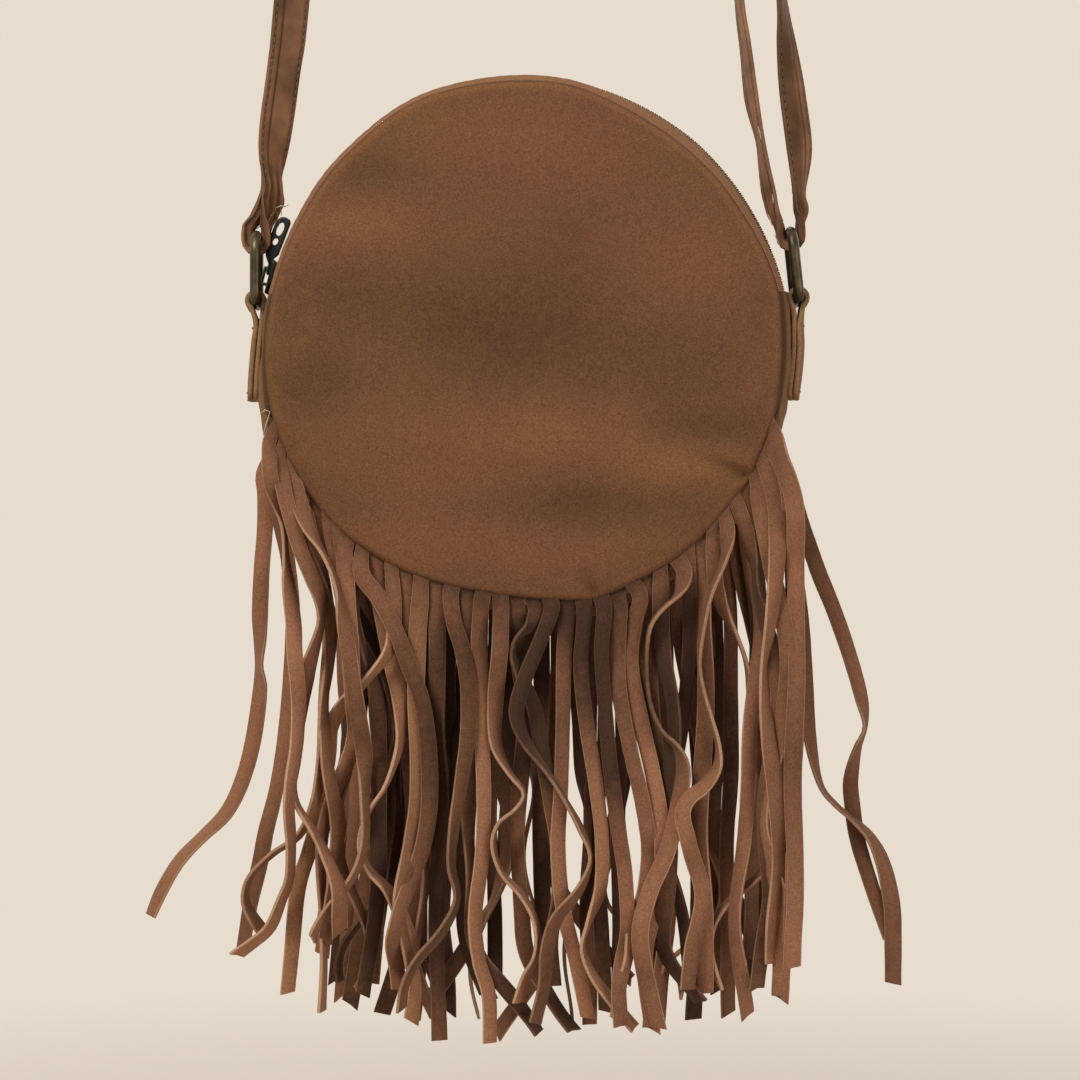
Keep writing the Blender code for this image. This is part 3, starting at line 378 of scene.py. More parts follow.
def round_off(across, up):
    """A square sheet's points as angle and share of the radius, crowded towards the rim."""
    flat_side = abs(across) >= abs(up)
    with np.errstate(divide="ignore", invalid="ignore"):
        lean = np.nan_to_num(np.where(flat_side, up / across, across / up)) * 45.0
    degrees = np.where(flat_side, np.where(across >= 0, lean, 180.0 + lean),
                       np.where(up >= 0, 90.0 - lean, 270.0 - lean))
    share = np.maximum(abs(across), abs(up))
    return degrees, share * (1.45 - 0.45 * share)


def add_suede_panel(name, side, swells, tucks, node):
    """A square of suede rounded to the seam's outline, domed and dented."""
    select_only()
    bpy.ops.mesh.primitive_grid_add(x_subdivisions=PANEL_CELLS, y_subdivisions=PANEL_CELLS, size=2.0)
    panel = take_new(name)
    flat = read_points(panel)
    degrees, share = round_off(flat[:, 0], flat[:, 1])
    radius = seam_at(degrees) * share
    x = radius * np.cos(np.radians(degrees))
    z = radius * np.sin(np.radians(degrees))
    rise = np.zeros(len(x))
    shade = np.zeros(len(x))
    # Each swell rises, and also paints its light or shade into the suede's colour
    for at_x, at_z, wide, high, swell, tone in swells:
        spot = np.exp(-((x - at_x) / wide) ** 2 - ((z - at_z) / high) ** 2)
        rise += swell * spot
        shade += tone * spot
    for start, end, depth, spread in tucks:
        fold = tuck_depth(x, z, start, end, depth, spread)
        rise -= fold
        # Painted shade in each tuck's fold
        shade -= 0.35 * fold
    # Small puckers where the thread has drawn the edge in, in some parts of the seam only
    pucker = np.sin(degrees * 0.31 + 1.3) * np.sin(degrees * 0.047) + 0.35 * np.sin(degrees * 0.83)
    rise += 0.22 * pucker * np.maximum(np.sin(degrees * 0.038 + 2.0), 0.0) * bump(share, 0.93, 0.05)
    # The rim is turned under round a quarter of a circle
    turned = np.clip((share - RIM_STARTS) / (1.0 - RIM_STARTS), 0.0, 1.0)
    roll = RIM_DROP * (1.0 - np.sqrt(1.0 - turned ** 2))
    y = HALF_DEPTH + SUEDE_OUT + PANEL_DOME * (1.0 - share ** 4) + rise * (1.0 - turned) - roll
    write_points(panel, np.stack((x, side * y, z), axis=1))
    # Painted highlight along the turned-under rim, strongest at the top, and painted shade in the seam's
    # groove
    painted_rim_light = (0.4 + 0.9 * ease(-20.0, 80.0, z)) * bump(share, 0.981, 0.014)
    shade += painted_rim_light - 3.2 * ease(0.991, 1.0, share)
    add_number(panel, "painted_shading", shade * 0.55)
    face_away(panel)
    smooth(panel)
    thicken(panel, PANEL_THICKNESS)
    fit(panel, "bag", "suede", panel_suede, node=node)


add_suede_panel("suede_front", -1, SWELLS, TUCKS, "front_panel")
add_suede_panel("suede_back", 1, BACK_SWELLS, (), "back_panel")


# The gusset is the strip of the same suede that closes the bag's lower edge between
# the two panels. It bellies out, with shallow wrinkles where the bag is bent in use.
GUSSET_BULGE = 6.2
GUSSET_START, GUSSET_END = 169.6, 370.4
# Gusset and facings end this far from the bag's middle, front and back
STRIP_EDGE = 17.7
STRIP_THICKNESS = 1.2
HEADER_ROOM = 1.5
ZIP_RIDGE = 98.5
FRINGE_START = 197.0
FRINGE_END = 343.0
# How far the zip's ridge strays from its circle, where the slider doesn't stand
ZIP_STRAYS = ((0, 0.0), (10, -0.1), (20, -0.6), (30, -0.7), (40, -0.5), (50, 0.1), (57, 0.2), (65, 0.5),
              (74, 1.0), (82, 1.9), (88, 2.5), (100, 2.7), (110, 2.8), (116, 2.6), (124, 1.8), (133, 1.2),
              (145, 0.9), (153, 0.4), (160, 0.0), (180, 0.0))


def ridge_rise(degrees):
    """How far the middle of the edge stands past the seams: zip above, gusset below."""
    degrees = np.asarray(degrees, float)
    from_top = abs((degrees - 90.0 + 180.0) % 360.0 - 180.0)
    low = ease(80.0, 115.0, from_top)
    zip_part = ZIP_RIDGE + around(ZIP_STRAYS + ((359.9, 0.0),), degrees) - seam_at(degrees)
    # The belly is fuller below the left tab, and flatter at the right one and below it
    belly = (GUSSET_BULGE + 1.9 * bump(degrees % 360.0, 194.0, 14.0)
             - 0.9 * bump(degrees % 360.0, 338.0, 14.0))
    belly = belly - 1.5 * bump((degrees + 180.0) % 360.0 - 180.0, -8.0, 13.0)
    return zip_part * (1.0 - low) + belly * low


def edge_radius(degrees, y):
    """Outer face of the gusset and of the zip's facings."""
    return seam_at(degrees) + ridge_rise(degrees) * np.maximum(1.0 - (y / HALF_DEPTH) ** 2, 0.0)


def add_band(name, start, end, cells_round, cells_wide, low_y, high_y, radius_of):
    """A long strip laid round the bag; radius_of gives its distance from the middle."""
    select_only()
    bpy.ops.mesh.primitive_grid_add(x_subdivisions=cells_round, y_subdivisions=cells_wide, size=2.0)
    band = take_new(name)
    flat = read_points(band)
    degrees = start + (end - start) * (flat[:, 0] + 1.0) / 2
    share = (flat[:, 1] + 1.0) / 2
    low = low_y(degrees) if callable(low_y) else low_y
    high = high_y(degrees) if callable(high_y) else high_y
    y = low + (high - low) * share
    radius = radius_of(degrees, y, share)
    turn = np.radians(degrees)
    write_points(band, np.stack((radius * np.cos(turn), y, radius * np.sin(turn)), axis=1))
    face_away(band)
    smooth(band)
    return band


gusset_suede = suede_material("gusset_suede", (0.33, 0.165, 0.083), (0.25, 0.122, 0.061),
                              (0.12, 0.058, 0.030), tone_name="painted_shading")


def gusset_edge(degrees):
    """Beside the fringe the strip's edge leaves room for the fringe's header."""
    beside = ease(FRINGE_START - 3.0, FRINGE_START - 0.8, degrees)
    beside = beside * (1.0 - ease(FRINGE_END + 0.8, FRINGE_END + 3.0, degrees))
    return STRIP_EDGE - HEADER_ROOM * beside


def gusset_radius(degrees, y, share):
    """The gusset's outer face, with its wrinkles and its edges curled in."""
    wrinkle = 0.30 * np.sin(degrees * 0.31 + y * 0.12) + 0.22 * np.sin(degrees * 0.53 - y * 0.21 + 1.0)
    wrinkle += 0.10 * np.sin(degrees * 0.97 + 3.0 * np.sin(y * 0.2))
    middle = 1.0 - (y / HALF_DEPTH) ** 2
    curl = 0.5 * (1.0 - ease(0.0, 0.06, np.minimum(share, 1.0 - share)))
    return edge_radius(degrees, y) + wrinkle * middle - curl


gusset = add_band("suede_gusset", GUSSET_START, GUSSET_END, 260, 24, lambda degrees: -gusset_edge(degrees),
                  gusset_edge, gusset_radius)
# Painted shade along the gusset's edges, where it meets the panels
from_middle = abs(read_points(gusset)[:, 1] / MM)
add_number(gusset, "painted_shading", 0.2 - 1.6 * ease(13.5, 16.5, from_middle))
thicken(gusset, STRIP_THICKNESS)
fit(gusset, "bag", "suede", gusset_suede, node="gusset")


# Facings. A narrow folded strip of suede runs along each side of the zip between the
# panel's seam and the tape. Its free edge is stitched down and puckers a little.
ZIP_START, ZIP_END = 10.2, 169.8
FACING_EDGE = 14.2
facing_suede = suede_material("facing_suede", (0.433, 0.205, 0.111), (0.34, 0.157, 0.085),
                              (0.175, 0.081, 0.0436), nap_scale=1.4)


def facing_radius(degrees, y, share):
    """The facing's outer face; share runs from the seam to the free edge, or back."""
    free = share if y.mean() < 0 else 1.0 - share
    pucker = 0.10 * np.sin(degrees * 1.9) * np.sin(degrees * 0.63 + 0.6)
    lip = 0.35 * bump(free, 0.86, 0.14)
    return edge_radius(degrees, y) + pucker * free + lip


for word, side in (("front", -1), ("back", 1)):
    facing = add_band("facing_" + word, ZIP_START, ZIP_END, 330, 8,
                      *sorted((FACING_EDGE * side, STRIP_EDGE * side)), facing_radius)
    thicken(facing, STRIP_THICKNESS)
    fit(facing, "bag", "suede", facing_suede, node="zip_facing_" + word)


# The zip's tapes are woven tan cloth, sewn under the facings. The weave runs along
# the tape in fine cords, and each coil is sewn to its tape's inner edge.
TAPE_INNER, TAPE_OUTER = 0.45, 15.8
TAPE_THICKNESS = 0.55
# Out to here from the zip's middle the tape lies flat, under the coil
CHAIN_FLAT = 5.5
# The tape lies so far inside the facing, square to its slope, and a little more for play
TAPE_SINK, TAPE_PLAY = 1.4, 0.45
CHAIN_SINK = 1.95


def woven_material(name, colour, dark, cords, picks):
    """Cloth woven in fine lengthwise cords, on the piece's own UV map."""
    made, tree, output = new_material(name)
    uv = add_node(tree, "ShaderNodeUVMap", uv_map="UVMap")
    apart = add_node(tree, "ShaderNodeSeparateXYZ", {"Vector": uv}).outputs

    def waves(source, count):
        return add_math(tree, "ABSOLUTE", add_math(tree, "SINE", add_math(tree, "MULTIPLY", source,
                                                                          count * 2 * math.pi)))

    weave = add_math(tree, "MULTIPLY", waves(apart["Y"], cords), waves(apart["X"], picks))
    level = add_math(tree, "ADD", weave, add_noise(tree, 420.0, 3.0))
    tint = add_mix(tree, add_math(tree, "MULTIPLY", level, 0.62), dark, colour)
    add_surface(tree, output, {"Base Color": tint, "Normal": add_bump(tree, weave, 0.5), "Roughness": 0.85,
                               "Specular IOR Level": 0.1})
    return made


tape_cloth = woven_material("tape_cloth", (0.35, 0.20, 0.11), (0.19, 0.095, 0.048), 9.0, 230.0)


def chain_level(degrees):
    """Distance from the bag's middle to the top of the tape under the coils."""
    return edge_radius(degrees, CHAIN_FLAT) - CHAIN_SINK


def tape_radius(degrees, y, share):
    """The tape's outer face, which keeps under the facing all the way."""
    out = np.maximum(abs(y), CHAIN_FLAT)
    slope = ridge_rise(degrees) * 2.0 * out / HALF_DEPTH ** 2
    sink = TAPE_SINK * np.hypot(1.0, slope) + TAPE_PLAY
    return edge_radius(degrees, out) - sink + 0.08 * np.sin(degrees * 1.1)


for word, side in (("front", -1), ("back", 1)):
    tape = add_band("tape_" + word, ZIP_START, ZIP_END, 260, 12,
                    *sorted((TAPE_INNER * side, TAPE_OUTER * side)), tape_radius)
    thicken(tape, TAPE_THICKNESS)
    fit(tape, "bag", "tape_cloth", tape_cloth, node="zip_tape_" + word)


# Each coil is one nylon thread wound flat. A turn shows as a short rounded bar with a
# wider head, and the heads of the two sides sit between one another.
TURN_PITCH = 1.8
TURN_HALF_LENGTH = 1.95
# A turn's middle, out from the top of the tape and aside from the zip's middle
TURN_RISE, TURN_ASIDE = 0.95, 1.05
COIL_START, COIL_END = 10.5, 169.5
# The dark sheet of painted shadow under the coil: its inner and outer edges and its thickness
SHADOW_INNER, SHADOW_OUTER = 0.05, 2.7
SHADOW_THICKNESS = 0.3


def mottled_material(name, dark, pale, scale, finish, detail=2.0, bumps=0.0):
    """Two colours in small clouds. Finish gives the shader's other inputs: a pair for
    the roughness follows the clouds, and bumps raise them."""
    made, tree, output = new_material(name)
    clouds = add_noise(tree, scale, detail)
    inputs = {"Base Color": add_mix(tree, clouds, dark, pale), **finish}
    if isinstance(inputs["Roughness"], tuple):
        inputs["Roughness"] = add_range(tree, clouds, 0.0, 1.0, *inputs["Roughness"])
    if bumps:
        inputs["Normal"] = add_bump(tree, clouds, bumps)
    add_surface(tree, output, inputs)
    return made


def new_piece(name, points, faces):
    """A mesh from points in millimetres from the bag's middle."""
    mesh = bpy.data.meshes.new(name)
    mesh.from_pydata([tuple(point) for point in points], [], faces)
    piece = bpy.data.objects.new(name, mesh)
    bpy.context.scene.collection.objects.link(piece)
    write_points(piece, read_points(piece))
    return piece


def mend_faces(piece, merge=0.0):
    """Joins points that lie nearer than merge, and turns every face outwards."""
    select_only(piece)
    bpy.ops.object.mode_set(mode="EDIT")
    bpy.ops.mesh.select_all(action="SELECT")
    if merge:
        bpy.ops.mesh.remove_doubles(threshold=merge)
    bpy.ops.mesh.normals_make_consistent(inside=False)
    bpy.ops.object.mode_set(mode="OBJECT")


coil_nylon = mottled_material("coil_nylon", (0.22, 0.125, 0.066), (0.34, 0.20, 0.11), 300.0,
                              {"Roughness": 0.8, "Specular IOR Level": 0.05})
coil_shadow = mottled_material("coil_painted_shadow", (0.075, 0.042, 0.025), (0.15, 0.085, 0.048), 700.0,
                               {"Roughness": 0.9})

# One turn, as along the zip, across it and outwards: narrow at its foot, wide at its head
select_only()
bpy.ops.mesh.primitive_uv_sphere_add(segments=8, ring_count=6, radius=1.0)
turn_shape = take_new("turn_shape")
shape = read_points(turn_shape)[:, [0, 2, 1]]
turn_faces = sorted(tuple(face.vertices)[::-1] for face in turn_shape.data.polygons)
bpy.data.objects.remove(turn_shape, do_unlink=True)
out_here = np.sign(shape[:, 1]) * abs(shape[:, 1]) ** 0.6 * TURN_HALF_LENGTH
body_part = ease(-1.3, 0.2, out_here)
turn_points = np.stack((shape[:, 0] * (0.44 + 0.16 * body_part), out_here,
                        shape[:, 2] * 0.62 - 0.22 * (out_here + 1.2)), axis=1)

for word, side, first in (("front", -1, 0.0), ("back", 1, 0.5)):
    points, faces = [], []
    across = np.array((0.0, side, 0.0))
    degrees = COIL_START + first * math.degrees(TURN_PITCH / ZIP_RIDGE)
    while degrees < COIL_END:
        radius = float(chain_level(degrees))
        turn = math.radians(degrees)
        out = np.array((math.cos(turn), 0.0, math.sin(turn)))
        along = np.array((-math.sin(turn), 0.0, math.cos(turn)))
        middle = out * (radius + TURN_RISE) + across * TURN_ASIDE
        placed = (middle + turn_points[:, :1] * along + turn_points[:, 1:2] * across
                  + turn_points[:, 2:3] * out)
        faces += [tuple(k + len(points) for k in face) for face in turn_faces]
        points += list(placed)
        degrees += math.degrees(TURN_PITCH / radius)
    coil = new_piece("coil_" + word, points, faces)
    mend_faces(coil)
    smooth(coil)
    fit(coil, "bag", "coil_nylon", coil_nylon, node="zip_coil_" + word)

    # A flat dark sheet lies in the coil: painted shadow that shows between its turns
    shadow_sheet = add_band("coil_painted_shadow_" + word, ZIP_START, ZIP_END, 200, 4,
                    *sorted((SHADOW_INNER * side, SHADOW_OUTER * side)),
                    lambda degrees, y, share: chain_level(degrees) + SHADOW_THICKNESS)
    thicken(shadow_sheet, SHADOW_THICKNESS)
    fit(shadow_sheet, "bag", "coil_nylon", coil_shadow)


# Slider. Two small dark plates joined by a web, the upper one with flanges that hold
# the coils, and a bridge over it for the pull. Cast zinc with a dark grey-green finish.
SLIDER_ANGLE = 180.0 - math.degrees(25.0 / ZIP_RIDGE)
COIL_TOP = 98.7
PLATE_LOW = COIL_TOP + 0.3
PLATE_SIZE = (13.0, 9.2, 0.9)
PLATE_NARROW = 7.4
LOWER_PLATE = 94.6
EDGE = 0.38


def add_block(name, size, centre, edge, steps=3):
    """A bevelled block; sizes in millimetres, from the bag's middle."""
    select_only()
    bpy.ops.mesh.primitive_cube_add(size=1.0)
    block = take_new(name)
    set_points(block, read_points(block) * np.array(size) + np.array(centre))
    apply_modifier(block, "BEVEL", width=edge, segments=steps, limit_method="NONE")
    return block


def join_pieces(name, pieces):
    select_only(pieces[0])
    for piece in pieces:
        piece.select_set(True)
    bpy.ops.object.join()
    return take_new(name)


def metal_material(name, colour, worn_colour, roughness, metallic, patch=180.0, amount=0.5):
    """Plated metal with its finish rubbed thin in patches."""
    made, tree, output = new_material(name)
    patches = add_noise(tree, patch, 4.0, 0.6)
    fine = add_noise(tree, patch * 9)
    tint = add_mix(tree, add_range(tree, patches, 0.42, 0.72, 0.0, amount), colour, worn_colour)
    rough = add_range(tree, fine, 0.0, 1.0, roughness - 0.08, roughness + 0.12)
    add_surface(tree, output, {"Base Color": tint, "Roughness": rough, "Normal": add_bump(tree, fine, 0.12),
                               "Metallic": metallic})
    return made


slider_metal = metal_material("slider_metal", (0.035, 0.037, 0.030), (0.12, 0.11, 0.08), 0.38, 0.85)


def to_slider_place(piece):
    """Turns a piece made at the top of the bag round to where the slider stands."""
    turn = math.radians(90.0 - SLIDER_ANGLE)
    points = read_points(piece)
    x = points[:, 0] * math.cos(turn) + points[:, 2] * math.sin(turn)
    z = points[:, 2] * math.cos(turn) - points[:, 0] * math.sin(turn)
    write_points(piece, np.stack((x, points[:, 1], z), axis=1))


# Both plates are narrow over one half of their length, and the broad half tapers at its end
blocks = []
for name, height in (("upper_plate", PLATE_LOW + 0.45), ("lower_plate", LOWER_PLATE)):
    plate = add_block(name, PLATE_SIZE, (0.0, 0.0, height), EDGE)
    points = read_points(plate)
    points[:, 1] *= np.where(points[:, 0] > 0, PLATE_NARROW / PLATE_SIZE[1],
                             1.0 - 0.16 * ease(3.5, 6.5, -points[:, 0]))
    set_points(plate, points)
    blocks.append(plate)
blocks.append(add_block("web", (4.6, 0.5, 5.0), (-3.9, 0.0, 96.9), 0.1, 1))
for side in (-1, 1):
    blocks.append(add_block("flange", (8.6, 0.8, 1.3), (1.8, side * 3.35, PLATE_LOW + 0.1), 0.25, 2))
    blocks.append(add_block("bridge_leg", (1.2, 1.5, 2.9), (side * 3.0, 0.0, PLATE_LOW + 1.9), 0.4))
blocks.append(add_block("bridge_bar", (7.2, 1.5, 1.05), (0.0, 0.0, PLATE_LOW + 0.9 + 2.0 + 0.5), 0.42))
slider = join_pieces("slider", blocks)
to_slider_place(slider)
smooth(slider, 40)
fit(slider, "zip_slider", "slider_metal", slider_metal, node="zip_slider")


# Pull. A glossy black cast loop with two windows, hung by a small eye from the
# slider's bridge. It stands on edge beside the panel.
PIVOT_UP = PLATE_LOW + 0.9 + 1.0
BRIDGE_REACH = 3.0
PULL_EDGE = 0.45
PULL_FLAT = 0.7
EYE_RADIUS, EYE_WIRE = 1.92, 0.6
gloss_black = mottled_material("gloss_black", (0.005, 0.005, 0.005), (0.016, 0.015, 0.013), 500.0,
                               {"Roughness": (0.24, 0.42), "Specular IOR Level": 0.4}, detail=4.0)


def coil_below(x):
    """Height of the coil under the pull, measured from the pull's pivot."""
    return math.sqrt((COIL_TOP + 0.3) ** 2 - (x + BRIDGE_REACH) ** 2) - PIVOT_UP


# The plate's outline, as along the zip and up from the pivot. Its lower edge keeps
# clear of the coil from the point wide to the point tip.
plate_end, tip = 4.0, 20.0
wide = plate_end + 1.8
low_wide, low_tip = coil_below(wide) + 0.2, coil_below(tip) + 0.9
slope = (low_tip - low_wide) / (tip - wide)
outline = [(1.8, -0.7), (plate_end, -0.7), (wide, low_wide), (tip - 1.6, low_tip + 0.1),
           (tip - 0.4, low_tip + 0.7), (tip + 0.2, low_tip + 2.3), (tip - 0.1, low_tip + 4.2),
           (tip - 1.6, low_tip + 5.6), (tip - 4.5, low_tip + 6.0), (wide + 1.6, low_wide + 5.4),
           (plate_end + 0.4, 2.6), (1.8, 0.9)]


def pull_window(middle, length, width, points=16):
    """An oval window, leaning with the plate's lower edge."""
    rise = low_wide + (middle - wide) * slope + 2.9
    turns = [2 * math.pi * k / points for k in range(points)]
    return [(middle + length / 2 * math.cos(turn),
             rise + slope * length / 2 * math.cos(turn) + width / 2 * math.sin(turn)) for turn in turns]


def curve_piece(name, loops, cyclic, **settings):
    """A plate or a wire drawn as lines through points, and made a mesh."""
    curve = bpy.data.curves.new(name, "CURVE")
    for key, value in settings.items():
        setattr(curve, key, value)
    for loop in loops:
        spline = curve.splines.new("POLY")
        spline.points.add(len(loop) - 1)
        for spot, point in zip(spline.points, loop):
            spot.co = (*point, 1.0)
        spline.use_cyclic_u = cyclic
    piece = bpy.data.objects.new(name, curve)
    bpy.context.scene.collection.objects.link(piece)
    select_only(piece)
    bpy.ops.object.convert(target="MESH")
    return bpy.context.active_object


loops = (outline, pull_window(tip - 4.6, 5.2, 2.6), pull_window(tip - 9.6, 2.6, 2.0))
plate = curve_piece("pull_plate", [[(x, z, 0.0) for x, z in loop] for loop in loops], True,
                    dimensions="2D", fill_mode="BOTH", extrude=PULL_FLAT / 2, bevel_depth=PULL_EDGE,
                    bevel_resolution=3, offset=-PULL_EDGE)
plate.rotation_euler = (math.radians(90), 0.0, 0.0)
bpy.ops.object.transform_apply(location=True, rotation=True, scale=True)
mend_faces(plate, 0.001)
select_only()
bpy.ops.mesh.primitive_torus_add(major_radius=EYE_RADIUS, minor_radius=EYE_WIRE, major_segments=28,
                                 minor_segments=10)
pull = join_pieces("pull", [plate, take_new("pull_eye")])
set_points(pull, read_points(pull) + np.array((BRIDGE_REACH, 0.0, PIVOT_UP)))
to_slider_place(pull)
smooth(pull, 35)
pull.data.materials.clear()
fit(pull, "zip_pull", "pull_metal", gloss_black, node="zip_pull")


# Rings. Each is a D of thick brass wire with a brown antique finish, butted and
# closed at its foot. A folded tab holds its foot, and the strap is tied into its bow.
RING_X = 101.673
RING_WIRE = 2.0
RING_BAR_Z = 15.5
RING_LENGTH = 24.5
# By side, -1 left and 1 right. The two strands of the strap draw the right ring in
# towards the bag, and a ring is turned by its sideways run for each millimetre back.
RING_LEANS = {-1: 0.0, 1: -2.6}
RING_SHIFTS = {-1: 0.0, 1: -1.5}
RING_TURNS = {-1: -0.13, 1: 0.0}
antique_brass = metal_material("antique_brass", (0.060, 0.050, 0.030), (0.22, 0.17, 0.095), 0.40, 0.9,
                               patch=160.0)


def arc(middle, radius, start, end, count):
    """Points along part of a circle, from one angle to another in degrees."""
    turns = [math.radians(start + (end - start) * k / count) for k in range(count + 1)]
    return [(middle[0] + radius * math.cos(turn), middle[1] + radius * math.sin(turn)) for turn in turns]


# The D, as front to back and up from its foot: two small corners and two wide ones
ring_line = (arc((9.3, 2.7), 2.7, -90, 0, 8) + arc((4.5, 17.0), 7.5, 0, 90, 16)
             + arc((-4.5, 17.0), 7.5, 90, 180, 16) + arc((-9.3, 2.7), 2.7, 180, 270, 8))


def add_wire(name, points, radius, cyclic, steps=6):
    """Round wire along points in millimetres from the bag's middle."""
    wire = curve_piece(name, [points], cyclic, dimensions="3D", resolution_u=1, bevel_depth=radius,
                       bevel_resolution=steps, use_fill_caps=not cyclic)
    mend_faces(wire, 0.002)
    wire = take_new(name)
    write_points(wire, read_points(wire))
    smooth(wire, 50)
    return wire


def points_in_mm(piece):
    """A placed piece's points, in millimetres from the bag's middle."""
    return (read_points(piece) - np.array(BAG)) / MM


for word, side in (("left", -1), ("right", 1)):
    line = [(side * RING_X, y, RING_BAR_Z + z) for y, z in ring_line]
    ring = add_wire(word + "_d_ring", line, RING_WIRE, True)
    points = points_in_mm(ring)
    points[:, 0] += RING_LEANS[side] * (points[:, 2] - RING_BAR_Z) / RING_LENGTH
    points[:, 0] += RING_SHIFTS[side] + RING_TURNS[side] * points[:, 1]
    write_points(ring, points)
    fit(ring, word + "_ring", "antique_brass", antique_brass, node=word + "_ring")


# Tabs. Each is one strip of thick suede, passed round the ring's foot, folded double
# and stitched down over the gusset. The raw edges are rounded and a shade lighter.
TAB_WIDTH = 17.6
TAB_CORNER = 4.0
# Distance from the bag's middle at which a height is turned into an angle round the edge
TAB_REACH = 100.7
STRAP_THICKNESS = 1.8
SEAM_GAP = 0.3
LOOP_RADIUS = RING_WIRE + SEAM_GAP + STRAP_THICKNESS / 2
CUT_SIDES = {0, 1, 5, 6, 7, 11}
tab_suede = suede_material("tab_suede", (0.433, 0.215, 0.120), (0.34, 0.168, 0.0936),
                           (0.206, 0.100, 0.0564))
cut_suede = suede_material("cut_suede", (0.47, 0.275, 0.155), (0.37, 0.20, 0.11), (0.25, 0.13, 0.07),
                           nap_scale=1.5)


def length_along(points):
    return np.concatenate(([0.0], np.cumsum(np.linalg.norm(np.diff(points, axis=0), axis=1))))


def spaced(points, step, before=0, after=0):
    """A smooth curve through points, read again at even steps. Extra columns go along.
    So many points before and after only steer the curve and are left out of it."""
    points = np.asarray(points, float)
    marks = [0]
    ends = np.vstack((2 * points[0] - points[1], points, 2 * points[-1] - points[-2]))
    rows = []
    for k in range(1, len(ends) - 2):
        a, b, c, d = ends[k - 1:k + 3]
        count = max(int(np.linalg.norm((c - b)[:3]) / (step * 0.25)), 4)
        t = np.linspace(0.0, 1.0, count, endpoint=False)[:, None]
        rows.append(0.5 * (2 * b + (c - a) * t + (2 * a - 5 * b + 4 * c - d) * t ** 2
                           + (3 * b - a - 3 * c + d) * t ** 3))
        marks.append(marks[-1] + count)
    dense = np.vstack(rows + [points[-1:]])
    length = length_along(dense[:, :3])
    first, last = length[marks[before]], length[marks[len(points) - 1 - after]]
    count = max(int(round((last - first) / step)), 2)
    at = np.linspace(first, last, count + 1)
    return np.stack([np.interp(at, length, dense[:, k]) for k in range(dense.shape[1])], axis=1), at


def unit(rows):
    return rows / np.maximum(np.linalg.norm(rows, axis=1, keepdims=True), 1e-9)


def square_to(along, rows):
    """Unit directions, each turned square to its place's direction along the line."""
    return unit(rows - along * (along * rows).sum(axis=1, keepdims=True))


def tube_faces(rings, size, base=0):
    """Faces between rings of so many points, ring after ring, then the two ends."""
    sides = [(base + k * size + j, base + k * size + (j + 1) % size, base + (k + 1) * size + (j + 1) % size,
              base + (k + 1) * size + j) for k in range(rings - 1) for j in range(size)]
    return sides + [tuple(base + j for j in range(size - 1, -1, -1)),
                    tuple(base + (rings - 1) * size + j for j in range(size))]


def strip_mesh(name, middles, across, section_of, cut_sides=()):
    """A long strip from sections: section_of(k) gives pairs of across and outward offsets."""
    along = unit(np.gradient(middles, axis=0))
    across = square_to(along, across)
    outward = np.cross(along, across)
    points = []
    for k in range(len(middles)):
        section = np.asarray(section_of(k), float)
        points += list(middles[k] + section[:, :1] * across[k] + section[:, 1:2] * outward[k])
    rings, size = len(middles), len(section)
    strip = new_piece(name, points, tube_faces(rings, size))
    length = length_along(middles)
    slots, coordinates = [], []
    for k in range(rings - 1):
        for j in range(size):
            slots.append(int(j in cut_sides))
            low, high = j / size, (j + 1) / size
            coordinates += [(low, length[k]), (high, length[k]),
                            (high, length[k + 1]), (low, length[k + 1])]
    coordinates += [(j / size, length[0]) for j in range(size - 1, -1, -1)]
    coordinates += [(j / size, length[-1]) for j in range(size)]
    layer = strip.data.uv_layers.new(name="UVMap")
    layer.data.foreach_set("uv", np.array(coordinates).ravel())
    strip.data.polygons.foreach_set("material_index", slots + [1, 1])
    mend_faces(strip)
    smooth(strip, 65)
    return strip


def rounded_section(width, thickness, swell=0.0):
    """A flat strip's section with rounded edges; CUT_SIDES are the sides of its cut edges."""
    w, t, c = width / 2, thickness / 2, min(0.35, thickness * 0.3)
    return [(-w, -t * 0.35), (-w, t * 0.35), (-w + c, t), (-w * 0.4, t + swell), (w * 0.4, t + swell),
            (w - c, t), (w, t * 0.35), (w, -t * 0.35), (w - c, -t), (w * 0.4, -t), (-w * 0.4, -t),
            (-w + c, -t)]


def edge_out(side, z):
    """How far to the side the edge of the bag stands at a height."""
    degrees = math.degrees(math.asin(z / TAB_REACH))
    ridge = float(edge_radius(degrees if side > 0 else 180.0 - degrees, 0.0))
    return math.sqrt(ridge ** 2 - z ** 2)


def tab_line(side):
    """Up along the gusset, round the ring's foot, and down again over itself."""
    rest = SEAM_GAP + STRAP_THICKNESS / 2
    layer = STRAP_THICKNESS + SEAM_GAP
    inner = [(edge_out(side, z) + rest, z) for z in (-21.5, -16.0, -10.75, -5.0, 0.0, 7.0)]
    loop = arc((RING_X + side * RING_SHIFTS[side], RING_BAR_Z), LOOP_RADIUS, 180, -60, 14)
    outer = [(x + layer, z) for x, z in reversed(inner)]
    return [(side * x, 0.0, z) for x, z in inner + loop + outer]


def tab_section(at, k):
    """The strip's two ends are cut round."""
    near_end = min(at[k], at[-1] - at[k])
    corner = max(TAB_CORNER - near_end, 0.0)
    cut = TAB_CORNER - math.sqrt(TAB_CORNER ** 2 - corner ** 2)
    return rounded_section(TAB_WIDTH - 2 * cut, STRAP_THICKNESS, 0.12)


